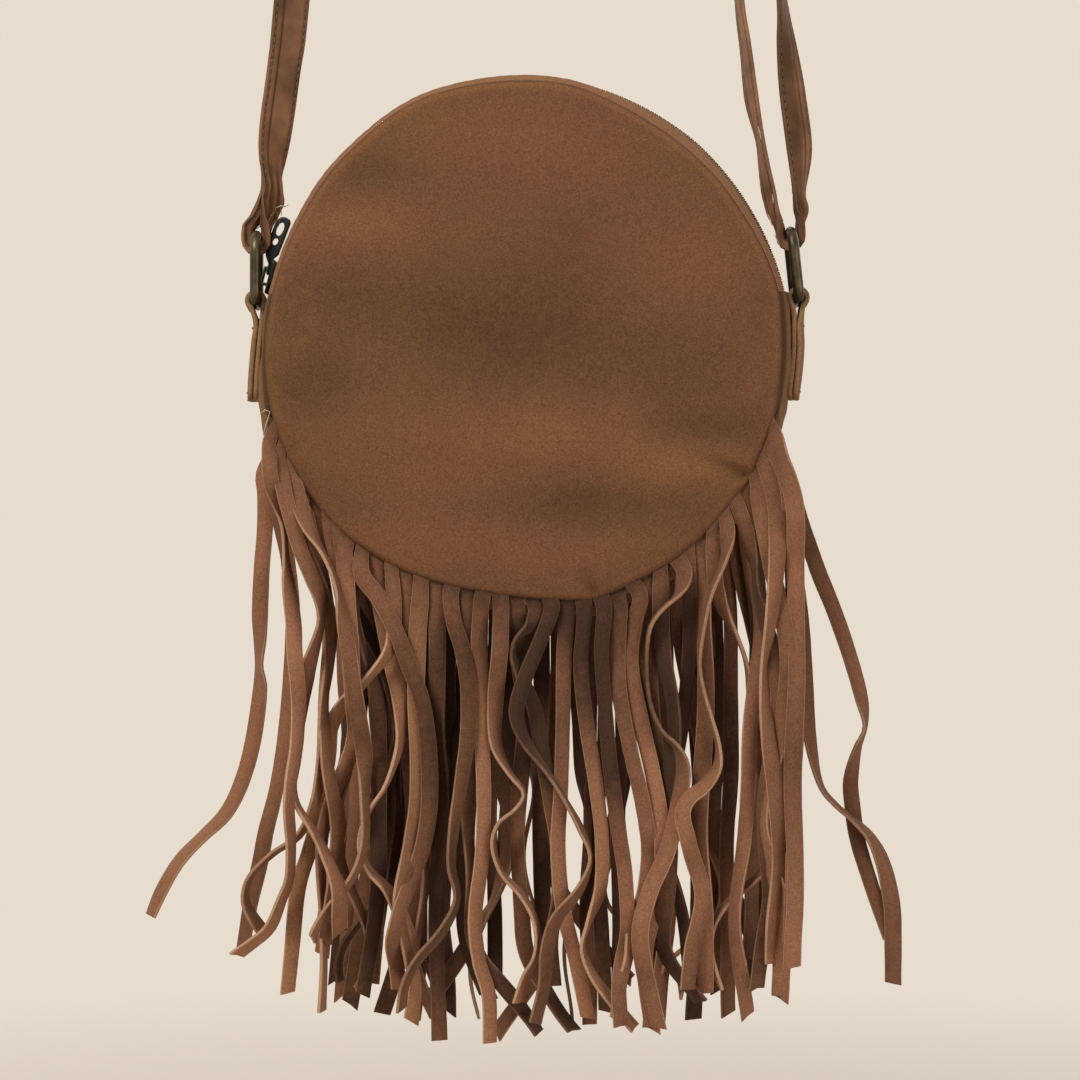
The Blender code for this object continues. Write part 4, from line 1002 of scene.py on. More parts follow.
for word, side in (("left", -1), ("right", 1)):
    middles, at = spaced(tab_line(side), 0.8)
    across = np.tile((0.0, 1.0, 0.0), (len(middles), 1))
    tab = strip_mesh(word + "_folded_tab", middles, across, lambda k: tab_section(at, k), CUT_SIDES)
    points = points_in_mm(tab)
    # Below, the tab bends with the gusset's belly; above, it turns with the ring
    above = ease(4.0, 12.0, points[:, 2])
    points[:, 0] -= side * GUSSET_BULGE * (points[:, 1] / HALF_DEPTH) ** 2 * (1.0 - above)
    points[:, 0] += RING_TURNS[side] * points[:, 1] * above
    write_points(tab, points)
    fit(tab, "bag", "suede", tab_suede, cut_suede, node=word + "_tab")


# Stitches. Waxed brown thread holds the tabs to the bag, in two rows across each
# tab, and each stitch dips into the suede at both ends.
TAB_SEAMS = (-18.6, 5.6)
TAB_STITCHES, TAB_PITCH = 5, 2.6
TAB_THREAD = 0.26
# A stitch, as distance along it and lift off the suede
TAB_STITCH = ((0.0, -0.5), (0.35, 0.1), (1.5, 0.12), (1.85, -0.5))
thread_brown = mottled_material("thread_brown", (0.10, 0.05, 0.026), (0.30, 0.17, 0.09), 2600.0,
                                {"Roughness": 0.5})


def stitch_mesh(name, stitches, radius, material, body=None):
    """Short threads, each a six-sided tube through three or more points, thin at its ends."""
    points, faces = [], []
    for line in stitches:
        line = np.asarray(line, float)
        along = unit(np.gradient(line, axis=0))
        # Any direction will do that isn't nearly along the thread
        askew = np.array((0.31, 0.87, 0.38)) if abs(along[0][1]) < 0.7 else np.array((0.9, 0.1, 0.42))
        first = unit(np.cross(along, askew))
        second = np.cross(along, first)
        faces += tube_faces(len(line), 6, len(points))
        for k in range(len(line)):
            thin = 0.45 if k in (0, len(line) - 1) else 1.0
            for j in range(6):
                angle = 2 * math.pi * j / 6
                out = first[k] * math.cos(angle) + second[k] * math.sin(angle)
                points.append(line[k] + out * radius * thin)
    thread = new_piece(name, points, faces)
    smooth(thread, 60)
    thread.data.materials.append(material)
    if body:
        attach(thread, body)
    return thread


for word, side in (("left", -1), ("right", 1)):
    stitches = []
    for z in TAB_SEAMS:
        face = side * (edge_out(side, z) + 2 * SEAM_GAP + 2 * STRAP_THICKNESS)
        for k in range(TAB_STITCHES):
            start = -6.2 + TAB_PITCH * k
            spots = [(start + run, lift) for run, lift in TAB_STITCH]
            stitches.append([(face + side * (lift - GUSSET_BULGE * (y / HALF_DEPTH) ** 2), y, z)
                             for y, lift in spots])
    stitch_mesh(word + "_tab_stitches", stitches, TAB_THREAD, thread_brown, "bag")


# Strap. One long strip of thin smooth leather with both edges folded in and sewn
# down. It is gathered into pleats where it passes round the rings.
STRAP_WIDTH = 14.0
PLEAT_TURN = 11.0
BOW_Z = RING_BAR_Z + RING_LENGTH
# Height above the bow where the bent strands end and the plain run begins
STRAND_TOP = 86.0
# Share of the thickness that the two folded layers keep once they are sewn
PRESSED = 0.86
GATHERED_WIDTH = 8.6
STRAP_THREAD = 0.14
# A machine stitch, as share of its pitch and lift off the leather
STRAP_STITCH = ((0.08, -0.25), (0.25, 0.10), (0.72, 0.10), (0.9, -0.25))
# Inside a ring's bow the strap's edges flare off the wire, by so many mm at this half
# width, and hang so much lower
FLARE_HALF_WIDTH, FLARE, FLARE_DROP = 4.3, 1.3, 1.6
# Stations by a ring, each: across, back, up from its bow, turn in degrees, and width
LEFT_LAP = ((7.0, 1.45, 38.0, 48, 12.6), (5.9, 1.3, 30.2, 40, 12.0), (5.4, 1.25, 19.0, 35, 10.0),
            (3.9, 1.3, 13.0, 38, 10.4), (0.2, 0.5, 7.2, 22, 9.8), (-2.9, 0.0, 3.2, 8, 9.0))
LEFT_STRAND = ((3.1, 0.0, 3.2, 8, 9.0), (4.3, 0.0, 7.2, 26, 10.0), (6.0, 0.0, 13.4, 44, 11.4),
               (6.2, 0.0, 18.5, 36, 10.4), (5.8, 0.0, 24.0, 33, 11.6), (6.0, 0.0, 30.2, 40, 13.2),
               (7.1, 0.0, 40.0, 49, 14.0), (10.4, 0.0, 64.0, 55, 14.0), (13.0, 0.0, 86.0, 62, 14.0))
RIGHT_OUTER = ((0.9, 0.0, 4.2, 8, 9.4), (1.4, 0.0, 9.5, 30, 11.0), (0.6, 0.0, 16.0, 24, 12.6),
               (0.6, 0.0, 32.0, 44, 14.0), (-2.3, 0.0, 50.7, 46, 14.0), (-5.1, 0.0, 69.4, 34, 14.0),
               (-7.0, 0.0, 86.0, 17, 14.0))
RIGHT_INNER = ((-6.4, 0.0, 3.2, -4, 9.4), (-9.0, 0.0, 7.8, -13, 10.6), (-10.7, 0.0, 15.3, -17, 12.2),
               (-12.4, 0.0, 26.0, -10, 13.6))
RETURN_STRAND = ((-14.1, 0.0, 35.8, -6, 14.0), (-17.7, 0.0, 50.7, -15, 14.0), (-20.5, 0.0, 69.4, -11, 14.0),
                 (-22.8, 0.0, 86.0, -7, 14.0), (-25.8, 0.0, 125.0, -2, 14.0), (-28.6, 0.0, 165.0, 0, 14.0))
# At the top the strap lies in two bends with a short flat part between them
HANG_TOP = -BAG.z / MM
HANG_RADIUS = 10.0
HANG_FLAT = 12.0


def station(x, y, z, turn, width, thickness=STRAP_THICKNESS):
    """One row of the strap: its middle, its width direction, its width and thickness."""
    angle = math.radians(turn)
    return (x, y, z, math.sin(angle), math.cos(angle), width, thickness)


def near_ring(rows, side):
    """Places stations from a ring's bow. High above it the ring's shift is not felt."""
    def shift(z):
        return RING_SHIFTS[side] * (1.0 - float(ease(20.0, 80.0, z)))

    return [station(side * RING_X + shift(z) + x, y, BOW_Z + z, turn, width)
            for x, y, z, turn, width in rows]


def bow_x(side):
    return side * RING_X + RING_LEANS[side] + RING_SHIFTS[side]


def loop_stations(side, start, end, count=14):
    """The strap's way round a ring's bow, where it is gathered narrow."""
    loop = arc((bow_x(side), BOW_Z), LOOP_RADIUS, start, end, count)
    return [station(x, 0.0, z, 0, GATHERED_WIDTH) for x, z in loop]


bend = Vector((HANG_FLAT / 2, HANG_TOP - HANG_RADIUS))
strand_start = Vector((RING_X - 6.0, BOW_Z + STRAND_TOP))
bend_reach = HANG_RADIUS + STRAP_THICKNESS / 2
gap = strand_start - bend
tangent = math.degrees(math.atan2(gap.y, gap.x) + math.acos(bend_reach / gap.length))
over = arc(tuple(bend), bend_reach, tangent, 90.0, 10)
over += [(-x, z) for x, z in reversed(over)]
base = Vector((strand_start.x, 0.0, strand_start.y))
top = Vector((over[0][0], 0.0, over[0][1]))
up_strand = (top - base).normalized()
out_strand = Vector((up_strand.z, 0.0, -up_strand.x))

# From the lap on the left ring up, over the top, and down and round the right ring
rows = near_ring(LEFT_LAP, -1) + loop_stations(-1, 165, 375) + near_ring(LEFT_STRAND, -1)
for share, turn in ((0.2, 90), (0.4, 90), (0.55, 80), (0.7, 50), (0.85, 18), (0.95, 3)):
    spot = base.lerp(top, share)
    rows.append(station(-spot.x, 0.0, spot.z, turn, STRAP_WIDTH))
rows += [station(x, 0.0, z, 0, STRAP_WIDTH) for x, z in reversed(over)]
for share in (0.95, 0.8, 0.6, 0.4, 0.25, 0.08):
    spot = base.lerp(top, share)
    rows.append(station(spot.x, 0.0, spot.z, 0, STRAP_WIDTH))
rows += list(reversed(near_ring(RIGHT_OUTER, 1))) + loop_stations(1, 10, -190)
rows += near_ring(RIGHT_INNER, 1) + near_ring(RETURN_STRAND[:2], 1)

# Smooth leather: cloudy brown, with painted shade in its grooves and pleats and painted light on parts of
# the strands
strap_leather, tree, output = new_material("strap_leather")
clouds = add_noise(tree, 55.0, 3.0, 0.6)
place = add_node(tree, "ShaderNodeTexCoord").outputs["Object"]
grain = add_node(tree, "ShaderNodeTexVoronoi", {"Vector": place, "Scale": 1500.0, "Randomness": 1.0})
ramp = add_ramp(tree, clouds, (0.36, (0.150, 0.076, 0.039)), (0.66, (0.300, 0.150, 0.079)))
darker = add_mix(tree, read_number(tree, "groove"), ramp, (0.055, 0.026, 0.014))
# Painted light: the colour is scaled up or down by place along the strap
uneven = add_node(tree, "ShaderNodeVectorMath", {0: darker, "Scale": read_number(tree, "painted_light")},
                operation="SCALE")
height = add_math(tree, "ADD", grain.outputs["Distance"], add_noise(tree, 900.0))
add_surface(tree, output, {"Base Color": uneven, "Roughness": add_range(tree, clouds, 0.0, 1.0, 0.58, 0.74),
                           "Normal": add_bump(tree, height, 0.22), "Specular IOR Level": 0.09})

# Shares of the half width at which a section has points: close together by the folds
RIGHT_SHARES = (0.07, 0.2, 0.34, 0.42, 0.5, 0.6, 0.72, 0.80, 0.88, 0.97)
STRAP_SIDES = tuple(-share for share in reversed(RIGHT_SHARES)) + RIGHT_SHARES
EDGE_SEAMS = (-0.80, 0.80)


def fold_lines(x):
    """Shares of the half width where the strap is folded and sewn, by its place across."""
    return (-0.80, -0.42, 0.80) if x < 0 else (-0.80, 0.42, 0.80)


def strap_section(width, thickness, pleats, phase, lines):
    """Folded edges, grooves where it is sewn, and pleats where it is gathered."""
    top, low = [], []
    for share in STRAP_SIDES:
        rise = pleats * math.sin(share * PLEAT_TURN + phase)
        groove = 0.22 * sum(math.exp(-((share - line) / 0.05) ** 2) for line in lines)
        edge = 0.35 * (abs(share) > 0.95)
        top.append((share * width / 2, thickness / 2 - groove - edge * thickness / 2 + rise))
        low.append((share * width / 2, -thickness / 2 + groove + edge * thickness / 2 + rise))
    left = (-width / 2, pleats * math.sin(-PLEAT_TURN + phase))
    right = (width / 2, pleats * math.sin(PLEAT_TURN + phase))
    return [left] + top + [right] + low[::-1]


def strap_painted_light(x, above, share):
    """How much the strap's colour is raised or lowered as painted light, by its place and the share across
    it. It is brightest by the left ring and on the return strand, and on one half of the right strand."""
    if x < 0:
        return 1.0 + 0.55 * float(1.0 - ease(30.0, 62.0, above))
    on_return_strand = x - RING_X < -3.0 - 0.145 * above
    if on_return_strand:
        return 1.35
    return 1.0 + float(1.0 - ease(90.0, 160.0, above)) * (0.75 * float(ease(0.0, 0.4, share)) - 0.2)


def bend_over_bow(points, side):
    """Inside a ring's bow the strap's two edges flare off the wire, and turn with it."""
    aside = points[:, 0] - side * RING_X - RING_LEANS[side] - RING_SHIFTS[side]
    above = points[:, 2] - BOW_Z
    apart = np.hypot(aside, above)
    flare = (abs(points[:, 1]) / FLARE_HALF_WIDTH) ** 2 * (1.0 - ease(4.5, 8.5, apart)) * (apart > 1.0)
    points[:, 0] += FLARE * flare * aside / np.maximum(apart, 1.0)
    points[:, 2] += FLARE * flare * above / np.maximum(apart, 1.0) - FLARE_DROP * flare * (above < 3.0)
    points[:, 0] += RING_TURNS[side] * points[:, 1] * (1.0 - ease(6.0, 22.0, apart))


def add_strap_piece(name, rows, before=0, after=0, step=1.5):
    """A strip of the strap along its stations, with the numbers its leather reads."""
    rows, at = spaced(rows, step, before, after)
    middles = rows[:, :3]
    across = np.stack((rows[:, 3], rows[:, 4], np.zeros(len(rows))), axis=1)
    width, thickness = rows[:, 5], rows[:, 6]
    pleats = 0.8 * np.clip((13.2 - width) / 3.0, 0.0, 1.0)
    uneven = 0.12 * np.sin(at * 0.21) + 0.1 * np.sin(at * 0.083 + 1.0)
    phase = at * 0.05
    lines = [fold_lines(x) for x in middles[:, 0]]
    piece = strip_mesh(name, middles, across, lambda k: strap_section(
        width[k] + uneven[k], thickness[k] * PRESSED, pleats[k], phase[k], lines[k]))
    points = points_in_mm(piece)
    for side in (-1, 1):
        bend_over_bow(points, side)
    write_points(piece, points)
    # Round the section: its left edge, its outer face, its right edge and its inner face
    round_section = [(-1.0, 0)] + [(share, 1) for share in STRAP_SIDES] + [(1.0, 0)]
    round_section += [(share, -1) for share in STRAP_SIDES[::-1]]
    grooves, painted_light = [], []
    for k, (x, _, z) in enumerate(middles):
        hollow = 0.6 * min(pleats[k], 1.0)
        for share, face in round_section:
            fold = max(math.exp(-((share - line) / 0.06) ** 2) for line in lines[k])
            pleat = 0.5 - 0.5 * face * math.sin(share * PLEAT_TURN + phase[k])
            # Painted shade in the fold lines and in the pleats' hollows; the folded edges are a little
            # darker all along
            grooves.append(max(0.95 * fold, hollow * pleat) if face else 0.2)
            painted_light.append(strap_painted_light(x, z - BOW_Z, share))
    add_number(piece, "groove", grooves)
    add_number(piece, "painted_light", painted_light)
    piece.data.materials.append(strap_leather)
    along = unit(np.gradient(middles, axis=0))
    across = square_to(along, across)
    return piece, np.hstack((middles, across, np.cross(along, across), rows[:, 5:7])), at


def seam_stitches(columns, at, pitch=2.9):
    """Machine stitches along the folded edges, on both faces, but none inside a loop,
    where the ring has rubbed them flat."""
    made = []
    for line in EDGE_SEAMS:
        for face in (1, -1):
            start = at[0] + 1.0
            while start + pitch < at[-1] - 1.0:
                spots = []
                for share, lift in STRAP_STITCH:
                    here = np.array([np.interp(start + pitch * share, at, column) for column in columns.T])
                    middle, aside, out = here[:3], here[3:6], here[6:9]
                    wide, thick = here[9], here[10] * PRESSED
                    spots.append(middle + aside * line * wide / 2 + out * face * (thick / 2 - 0.12 + lift))
                near = min(math.hypot(x - bow_x(side), z - BOW_Z) for side in (-1, 1) for x, _, z in spots)
                if near > LOOP_RADIUS:
                    made.append(spots)
                start += pitch
    return made


strap, *strap_frame = add_strap_piece("long_strap", rows, after=2)
fit(strap, "strap", None, node="strap")
stitch_mesh("strap_stitches", seam_stitches(*strap_frame), STRAP_THREAD, thread_brown, "strap")


# The strap's end comes back up from the ring and is sewn round the middle bar of the adjuster, which slides
# to set the strap's length.
ADJUSTER_UP = 230.0
ADJUSTER_WIRE = 1.1
END_THICKNESS = 1.5
adjuster_middle = base + up_strand * (ADJUSTER_UP - STRAND_TOP)
# The adjuster's bars, as distances out from the middle of the strand that passes it
end_bar = STRAP_THICKNESS / 2 + SEAM_GAP + ADJUSTER_WIRE
middle_bar = -(STRAP_THICKNESS / 2 + 2 * SEAM_GAP + END_THICKNESS + ADJUSTER_WIRE)
turn_radius = ADJUSTER_WIRE + SEAM_GAP + END_THICKNESS / 2


def at_adjuster(up, out, thickness=END_THICKNESS):
    spot = adjuster_middle + up_strand * up + out_strand * out
    return station(spot.x, spot.y, spot.z, 0, STRAP_WIDTH, thickness)


rows = near_ring(RIGHT_INNER[-2:] + RETURN_STRAND, 1)
close = middle_bar + turn_radius - END_THICKNESS - 2 * SEAM_GAP
rows += [at_adjuster(-30.0, close - 1.0, STRAP_THICKNESS), at_adjuster(-18.0, close - 0.1),
         at_adjuster(-7.0, close - 0.5)]
for degrees in range(190, -11, -20):
    angle = math.radians(degrees)
    rows.append(at_adjuster(turn_radius * math.sin(angle), middle_bar + turn_radius * math.cos(angle)))
rows += [at_adjuster(up, middle_bar + turn_radius) for up in (-6.0, -17.0)]
strap_end, *end_frame = add_strap_piece("strap_end", rows, before=1)
# Two points on the end: the first station of the return strand, and one just below the adjuster
BELOW_ADJUSTER = 34.0
below = tuple(BAG + Vector(near_ring(RETURN_STRAND, 1)[0][:3]) * MM)
above = tuple(BAG + (adjuster_middle - up_strand * BELOW_ADJUSTER) * MM)
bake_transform(strap_end)
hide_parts("strap_return")
stitches = stitch_mesh("strap_end_stitches", seam_stitches(*end_frame), STRAP_THREAD, thread_brown)
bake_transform(stitches)


# Adjuster. A small slide of bent brass wire: a rounded oblong frame whose sides dip
# to carry a middle bar. The strap runs under its end bars and over its middle bar.
ADJUSTER_HALF_WIDTH = 9.2
ADJUSTER_HALF_HEIGHT = 7.5
ADJUSTER_CORNER = 2.0


def bowed(across, up):
    """A point of the frame: out at its end bars, dipped in at its middle."""
    dip = float(1.0 - ease(0.1, 0.75, abs(up) / ADJUSTER_HALF_HEIGHT))
    spot = adjuster_middle + up_strand * up + out_strand * (end_bar + (middle_bar - end_bar) * dip)
    return (spot.x, across, spot.z)


frame_line = []
for sign_w, sign_t, start in ((1, 1, 0), (-1, 1, 90), (-1, -1, 180), (1, -1, 270)):
    frame_line += arc((sign_w * 7.2, sign_t * 5.5), ADJUSTER_CORNER, start, start + 90, 6)
    if sign_w != sign_t:
        frame_line += [(sign_w * ADJUSTER_HALF_WIDTH, sign_t * share * ADJUSTER_HALF_HEIGHT)
                       for share in (0.62, 0.5, 0.38, 0.26, 0.14, 0.0, -0.14, -0.26, -0.38, -0.5, -0.62)]
wire = add_wire("adjuster_frame", [bowed(w, t) for w, t in frame_line], ADJUSTER_WIRE, True, 4)
bar_line = [bowed(w, 0.0) for w in (-ADJUSTER_HALF_WIDTH, -4.0, 0.0, 4.0, ADJUSTER_HALF_WIDTH)]
bar = add_wire("adjuster_bar", bar_line, ADJUSTER_WIRE * 0.95, False, 4)
slide = join_pieces("adjuster_slide_wire", [wire, bar])
smooth(slide, 50)
slide.data.materials.clear()
fit(slide, "adjuster", "antique_brass", antique_brass, node="adjuster")


# Fringe. Front and back, one strip of thin suede is sewn into the seam under the panel
# and cut into forty ribbons. They fall in waves, twist on edge where they curve to the
# side, and lie over one another. This is the part that takes the most skill.
RIBBONS = 40
RIBBON_WIDTH = 5.8
ROOT_WIDTH = 6.1
ROOT_TURNS = 15.0
RIBBON_THICKNESS = 1.2
HEADER_INSIDE = 2.5
HEADER_OUTSIDE = 2.0
ROOT_INSIDE = 1.6
HEADER_Y = HALF_DEPTH - 0.3 - RIBBON_THICKNESS / 2
# Sections are this far apart down to the fine end, and that far apart below it
FINE_STEP, STEP, FINE_END = 1.3, 2.6, 13.0
# The picture's pixels: where the bag's middle shows, and the size of one in mm, with its
# growth for each mm further back
MIDDLE_ACROSS, MIDDLE_DOWN = 524, 338
PIXEL_AT_MIDDLE, PIXEL_AT_AIM, PIXEL_GROWTH = 0.3733, 0.364, 0.000465
# Ribbons left to hang end near the lower edge. The longest is in mm, the twist in radians
LOWER_EDGE = -249.0
LONGEST = 205.0
MOST_TWIST = 1.5
# The ground, a grid of cells that keeps how far out the laid ribbons reach, in mm
CELL = 0.75
GRID_LEFT, GRID_LOW = -165.0, -300.0
GRID_WIDE, GRID_HIGH = int(330 / CELL), int(290 / CELL)
LOWEST = -30.0
CLEARANCE = 0.25
# Of the ribbons left to hang, this share keeps well behind the others
UNDER_SHARE = 0.75
# Sides of a ribbon's section that are cut edges, and the header's tone and hue
RIBBON_CUTS = {0, 1, 4, 5, 6, 9}
HEADER_TONE, HEADER_HUE = -0.5, 0.3
# Painted shade makes the fringe darkest round this place below the bag's middle
DARK_X, DARK_Z, DARK_WIDE, DARK_HIGH = 18.0, -128.0, 42.0, 38.0
fringe_face = suede_material("fringe_face", (0.400, 0.182, 0.104), (0.240, 0.108, 0.061),
                             (0.080, 0.040, 0.026), nap_scale=1.2, sheen=0.1,
                             tone_name="ribbon_tone", hue_name="ribbon_hue")
fringe_cut = suede_material("fringe_cut", (0.645, 0.38, 0.252), (0.458, 0.245, 0.157),
                            (0.177, 0.085, 0.054), nap_scale=1.6, sheen=0.1, tone_name="ribbon_tone")

# Ribbons that stand out in front. Each point: pixels across and down in a view of
# 1080 by 1080, and the ribbon's twist in degrees, 0 flat to the front and 90 on edge.
FRONT_ROUTES = {
    0: ((267, 440, -75), (268, 455, -35), (271, 482, -5), (275, 505, -55), (279, 530, -85),
        (281, 560, -80), (284, 590, -45), (289, 625, -20), (294, 660, -15), (296, 690, -20),
        (294, 740, -40), (291, 800, -60), (289, 870, -70), (278, 905, -60), (266, 932, -50),
        (248, 948, -45), (232, 960, -40)),
    1: ((278, 460, -60), (281, 480, -20), (287, 507, -10), (297, 545, -12), (309, 575, -20),
        (319, 600, -50), (320, 622, -75), (313, 647, -60), (305, 670, -35), (298, 700, -40),
        (292, 740, -60), (289, 780, -80), (295, 803, -85), (310, 827, -80), (322, 850, -70),
        (335, 872, -60), (341, 895, -40), (338, 935, -25)),
    3: ((293, 492, -60), (298, 520, -25), (305, 555, -12), (318, 590, -15), (327, 622, -30),
        (325, 660, -60), (320, 710, -75), (318, 760, -70), (312, 805, -60), (296, 838, -70),
        (268, 858, -75), (244, 882, -80), (239, 906, -75), (248, 925, -60), (258, 938, -50)),
    4: ((300, 505, -10), (310, 548, -25), (320, 592, -35), (325, 640, -50), (320, 695, -70),
        (324, 755, -60), (333, 820, -40), (330, 885, -50), (322, 945, -40)),
    8: ((343, 555, 0), (346, 600, -8), (350, 650, -5), (353, 700, -5), (351, 740, -15),
        (341, 770, -35), (328, 800, -45), (319, 830, -55), (316, 870, -70), (318, 920, -80),
        (319, 970, -80), (317, 1018, -75)),
    9: ((361, 575, -10), (377, 598, -20), (396, 635, -15), (408, 670, -12), (419, 700, -10),
        (425, 740, -10), (427, 780, -15), (426, 815, -20), (420, 850, -25), (410, 880, -30),
        (399, 915, -35), (392, 950, -35), (396, 995, -30)),
    10: ((373, 580, -10), (380, 620, -12), (389, 665, -18), (397, 705, -35), (397, 745, -70),
         (385, 785, -85), (366, 815, -85), (357, 845, -85), (367, 872, -80), (385, 892, -70),
         (400, 925, -40), (408, 960, -20)),
    11: ((390, 580, -5), (392, 615, -20), (388, 650, -50), (366, 680, -70), (343, 702, -45),
         (327, 728, -20), (324, 760, -15), (317, 800, -15), (311, 830, -15), (303, 860, -20),
         (296, 880, -20), (291, 905, -20), (287, 950, -25), (282, 1000, -25)),
    13: ((418, 600, -5), (415, 640, -10), (413, 700, -15), (415, 760, -15), (414, 810, -20),
         (405, 865, -40), (398, 905, -65), (404, 945, -70), (412, 985, -50), (408, 1028, -30)),
    15: ((449, 600, -5), (453, 625, -12), (461, 650, -10), (467, 690, -12), (466, 740, -20),
         (460, 780, -30), (452, 830, -55), (449, 870, -70), (455, 902, -75), (441, 934, -60),
         (418, 960, -60), (405, 985, -65), (401, 1010, -60)),
    17: ((480, 605, -5), (477, 640, -10), (478, 680, -12), (480, 740, -12), (482, 800, -15),
         (480, 860, -20), (473, 920, -35), (477, 965, -40), (487, 1000, -30), (488, 1048, -25)),
    18: ((500, 610, -8), (500, 650, -15), (494, 700, -20), (494, 745, -50), (508, 775, -80),
         (523, 795, -85), (514, 812, -85), (497, 826, -85), (491, 848, -85), (500, 876, -85),
         (520, 898, -80), (535, 925, -80), (536, 955, -75), (525, 980, -60), (517, 1007, -45)),
    20: ((535, 612, -15), (529, 627, -60), (516, 638, -85), (512, 655, -80), (521, 678, -50),
         (533, 710, -20), (541, 755, -10), (549, 805, -10), (556, 850, -20), (557, 900, -30),
         (550, 945, -30), (553, 990, -20)),
    21: ((551, 610, -10), (540, 640, -20), (524, 680, -15), (516, 712, -25), (524, 740, -55),
         (545, 770, -80), (564, 800, -85), (580, 830, -75), (590, 860, -85), (580, 890, -60),
         (556, 920, -40), (547, 950, -35), (544, 985, -45), (534, 1027, -40)),
    22: ((566, 612, -5), (563, 660, -10), (562, 720, -12), (560, 790, -12), (557, 850, -20),
         (562, 910, -15), (574, 960, -10), (587, 1022, -10)),
    23: ((584, 615, 0), (580, 665, -8), (585, 720, -12), (595, 785, -10), (601, 840, -5),
         (600, 890, -30), (588, 925, -75), (582, 950, -80), (592, 975, -70), (612, 1000, -60),
         (634, 1028, -50)),
    24: ((604, 610, 5), (601, 650, 0), (604, 700, 5), (609, 760, 5), (618, 830, 10), (625, 880, 5),
         (627, 930, 0), (619, 980, -10), (621, 1022, -20)),
    25: ((619, 610, 5), (617, 660, 8), (620, 700, 5), (630, 750, 8), (642, 800, 5), (649, 850, 0),
         (644, 895, -15), (633, 925, -40), (628, 960, -60), (620, 990, -50), (615, 1022, -40)),
    26: ((640, 597, 10), (635, 622, 20), (630, 665, 10), (640, 720, 5), (652, 772, 0),
         (660, 815, -5), (662, 860, -10), (655, 910, -20), (644, 960, -10), (652, 1033, 5)),
    29: ((684, 572, 40), (678, 594, 80), (663, 608, 85), (650, 627, 85), (646, 660, 85),
         (649, 700, 85), (660, 730, 80), (676, 747, 70), (683, 768, 45), (679, 800, 30),
         (667, 850, 20), (650, 890, 15), (640, 930, 10), (645, 975, 10), (657, 1030, 10)),
    33: ((727, 532, 45), (724, 558, 70), (711, 592, 80), (704, 620, 80), (699, 660, 85),
         (703, 690, 85), (711, 720, 80), (718, 745, 80), (717, 768, 65), (703, 786, 40),
         (689, 796, 30), (682, 812, 15), (686, 832, -10), (693, 860, -12), (702, 890, -12),
         (701, 915, -15), (692, 950, -25), (687, 990, -30)),
    34: ((740, 512, 30), (747, 532, 15), (752, 560, 45), (756, 590, 65), (765, 622, 30),
         (774, 655, 10), (778, 700, 5), (772, 750, 15), (764, 800, 30), (766, 850, 15),
         (770, 900, 5), (762, 950, -10), (757, 990, -10)),
    36: ((757, 490, 30), (764, 530, 8), (772, 570, 5), (781, 610, 5), (788, 655, 5),
         (786, 700, 10), (778, 750, 40), (768, 790, 70), (764, 830, 60), (774, 875, 35),
         (785, 920, 20), (782, 960, 10), (780, 1000, 10)),
    37: ((770, 455, 30), (774, 500, 10), (776, 560, -20), (770, 620, -50), (764, 680, -60),
         (768, 740, -30), (776, 800, -10), (779, 860, -30), (771, 920, -50), (772, 965, -30)),
    38: ((776, 440, 60), (782, 470, 20), (790, 520, 10), (795, 600, 8), (796, 700, 8),
         (793, 800, 12), (792, 880, 15), (790, 940, 10)),
    39: ((777, 420, 80), (776, 440, 80), (781, 462, 45), (787, 482, 15), (793, 508, 5),
         (795, 560, 3), (796, 620, 3), (796, 680, 5), (793, 740, 5), (792, 790, 5), (794, 850, 5),
         (794, 900, 5), (792, 935, 10), (791, 966, 15)),
}
# The same for the back row, where it shows past the front one
BACK_ROUTES = {
    0: ((267, 470, -20), (267, 497, -8), (264, 560, -5), (262, 610, -10), (262, 640, -40),
        (261, 665, -60), (262, 690, -30), (255, 740, -10), (244, 780, -12), (228, 812, -30),
        (205, 835, -50), (181, 860, -45), (163, 890, -40), (152, 915, -50)),
    2: ((280, 500, -20), (290, 560, -20), (295, 620, -20), (292, 680, -25), (286, 740, -20),
        (278, 790, -20), (268, 830, -10), (262, 862, -10), (253, 900, -20), (245, 947, -30)),
    37: ((777, 500, 20), (790, 560, 15), (798, 620, 10), (802, 680, 20), (807, 735, 45),
         (817, 780, 75), (832, 800, 80), (847, 813, 80), (866, 832, 60), (879, 860, 30),
         (887, 900, 10), (888, 940, 5), (888, 975, 5)),
    38: ((783, 480, 20), (788, 540, 10), (790, 600, 5), (788, 680, 5), (786, 760, 10),
         (788, 840, 15), (786, 900, 20), (784, 950, 20)),
    39: ((790, 490, 20), (802, 530, 15), (814, 568, 12), (830, 608, 12), (844, 648, 15),
         (856, 690, 25), (861, 722, 75), (853, 745, 60), (847, 775, 20), (849, 800, 12),
         (854, 835, 12), (864, 870, 15), (876, 905, 15), (886, 932, 15)),
}
# The order in which the front ones are laid, over the ribbons left to hang and under the
# four at either end
FRONT_ORDER = (34, 26, 20, 10, 13, 25, 22, 11, 8, 18, 9, 23, 24, 17, 15, 21, 29, 33, 4)


def from_picture(x, y, row_y):
    """Millimetres from the bag's middle for a pixel, on a plane that far front or back."""
    scale = PIXEL_AT_MIDDLE + PIXEL_GROWTH * row_y
    nearer = scale / PIXEL_AT_AIM - 1.0
    return (x - MIDDLE_ACROSS) * scale - EYE[0] * nearer, (MIDDLE_DOWN - y) * scale - EYE[2] * nearer


def root_of(index):
    """Angle of a ribbon's top and its place, hidden under the panel's rim."""
    degrees = FRINGE_START + (FRINGE_END - FRINGE_START) * (index + 0.5) / RIBBONS
    turn = math.radians(degrees)
    reach = float(seam_at(degrees)) - ROOT_INSIDE
    return degrees, np.array((reach * math.cos(turn), reach * math.sin(turn)))


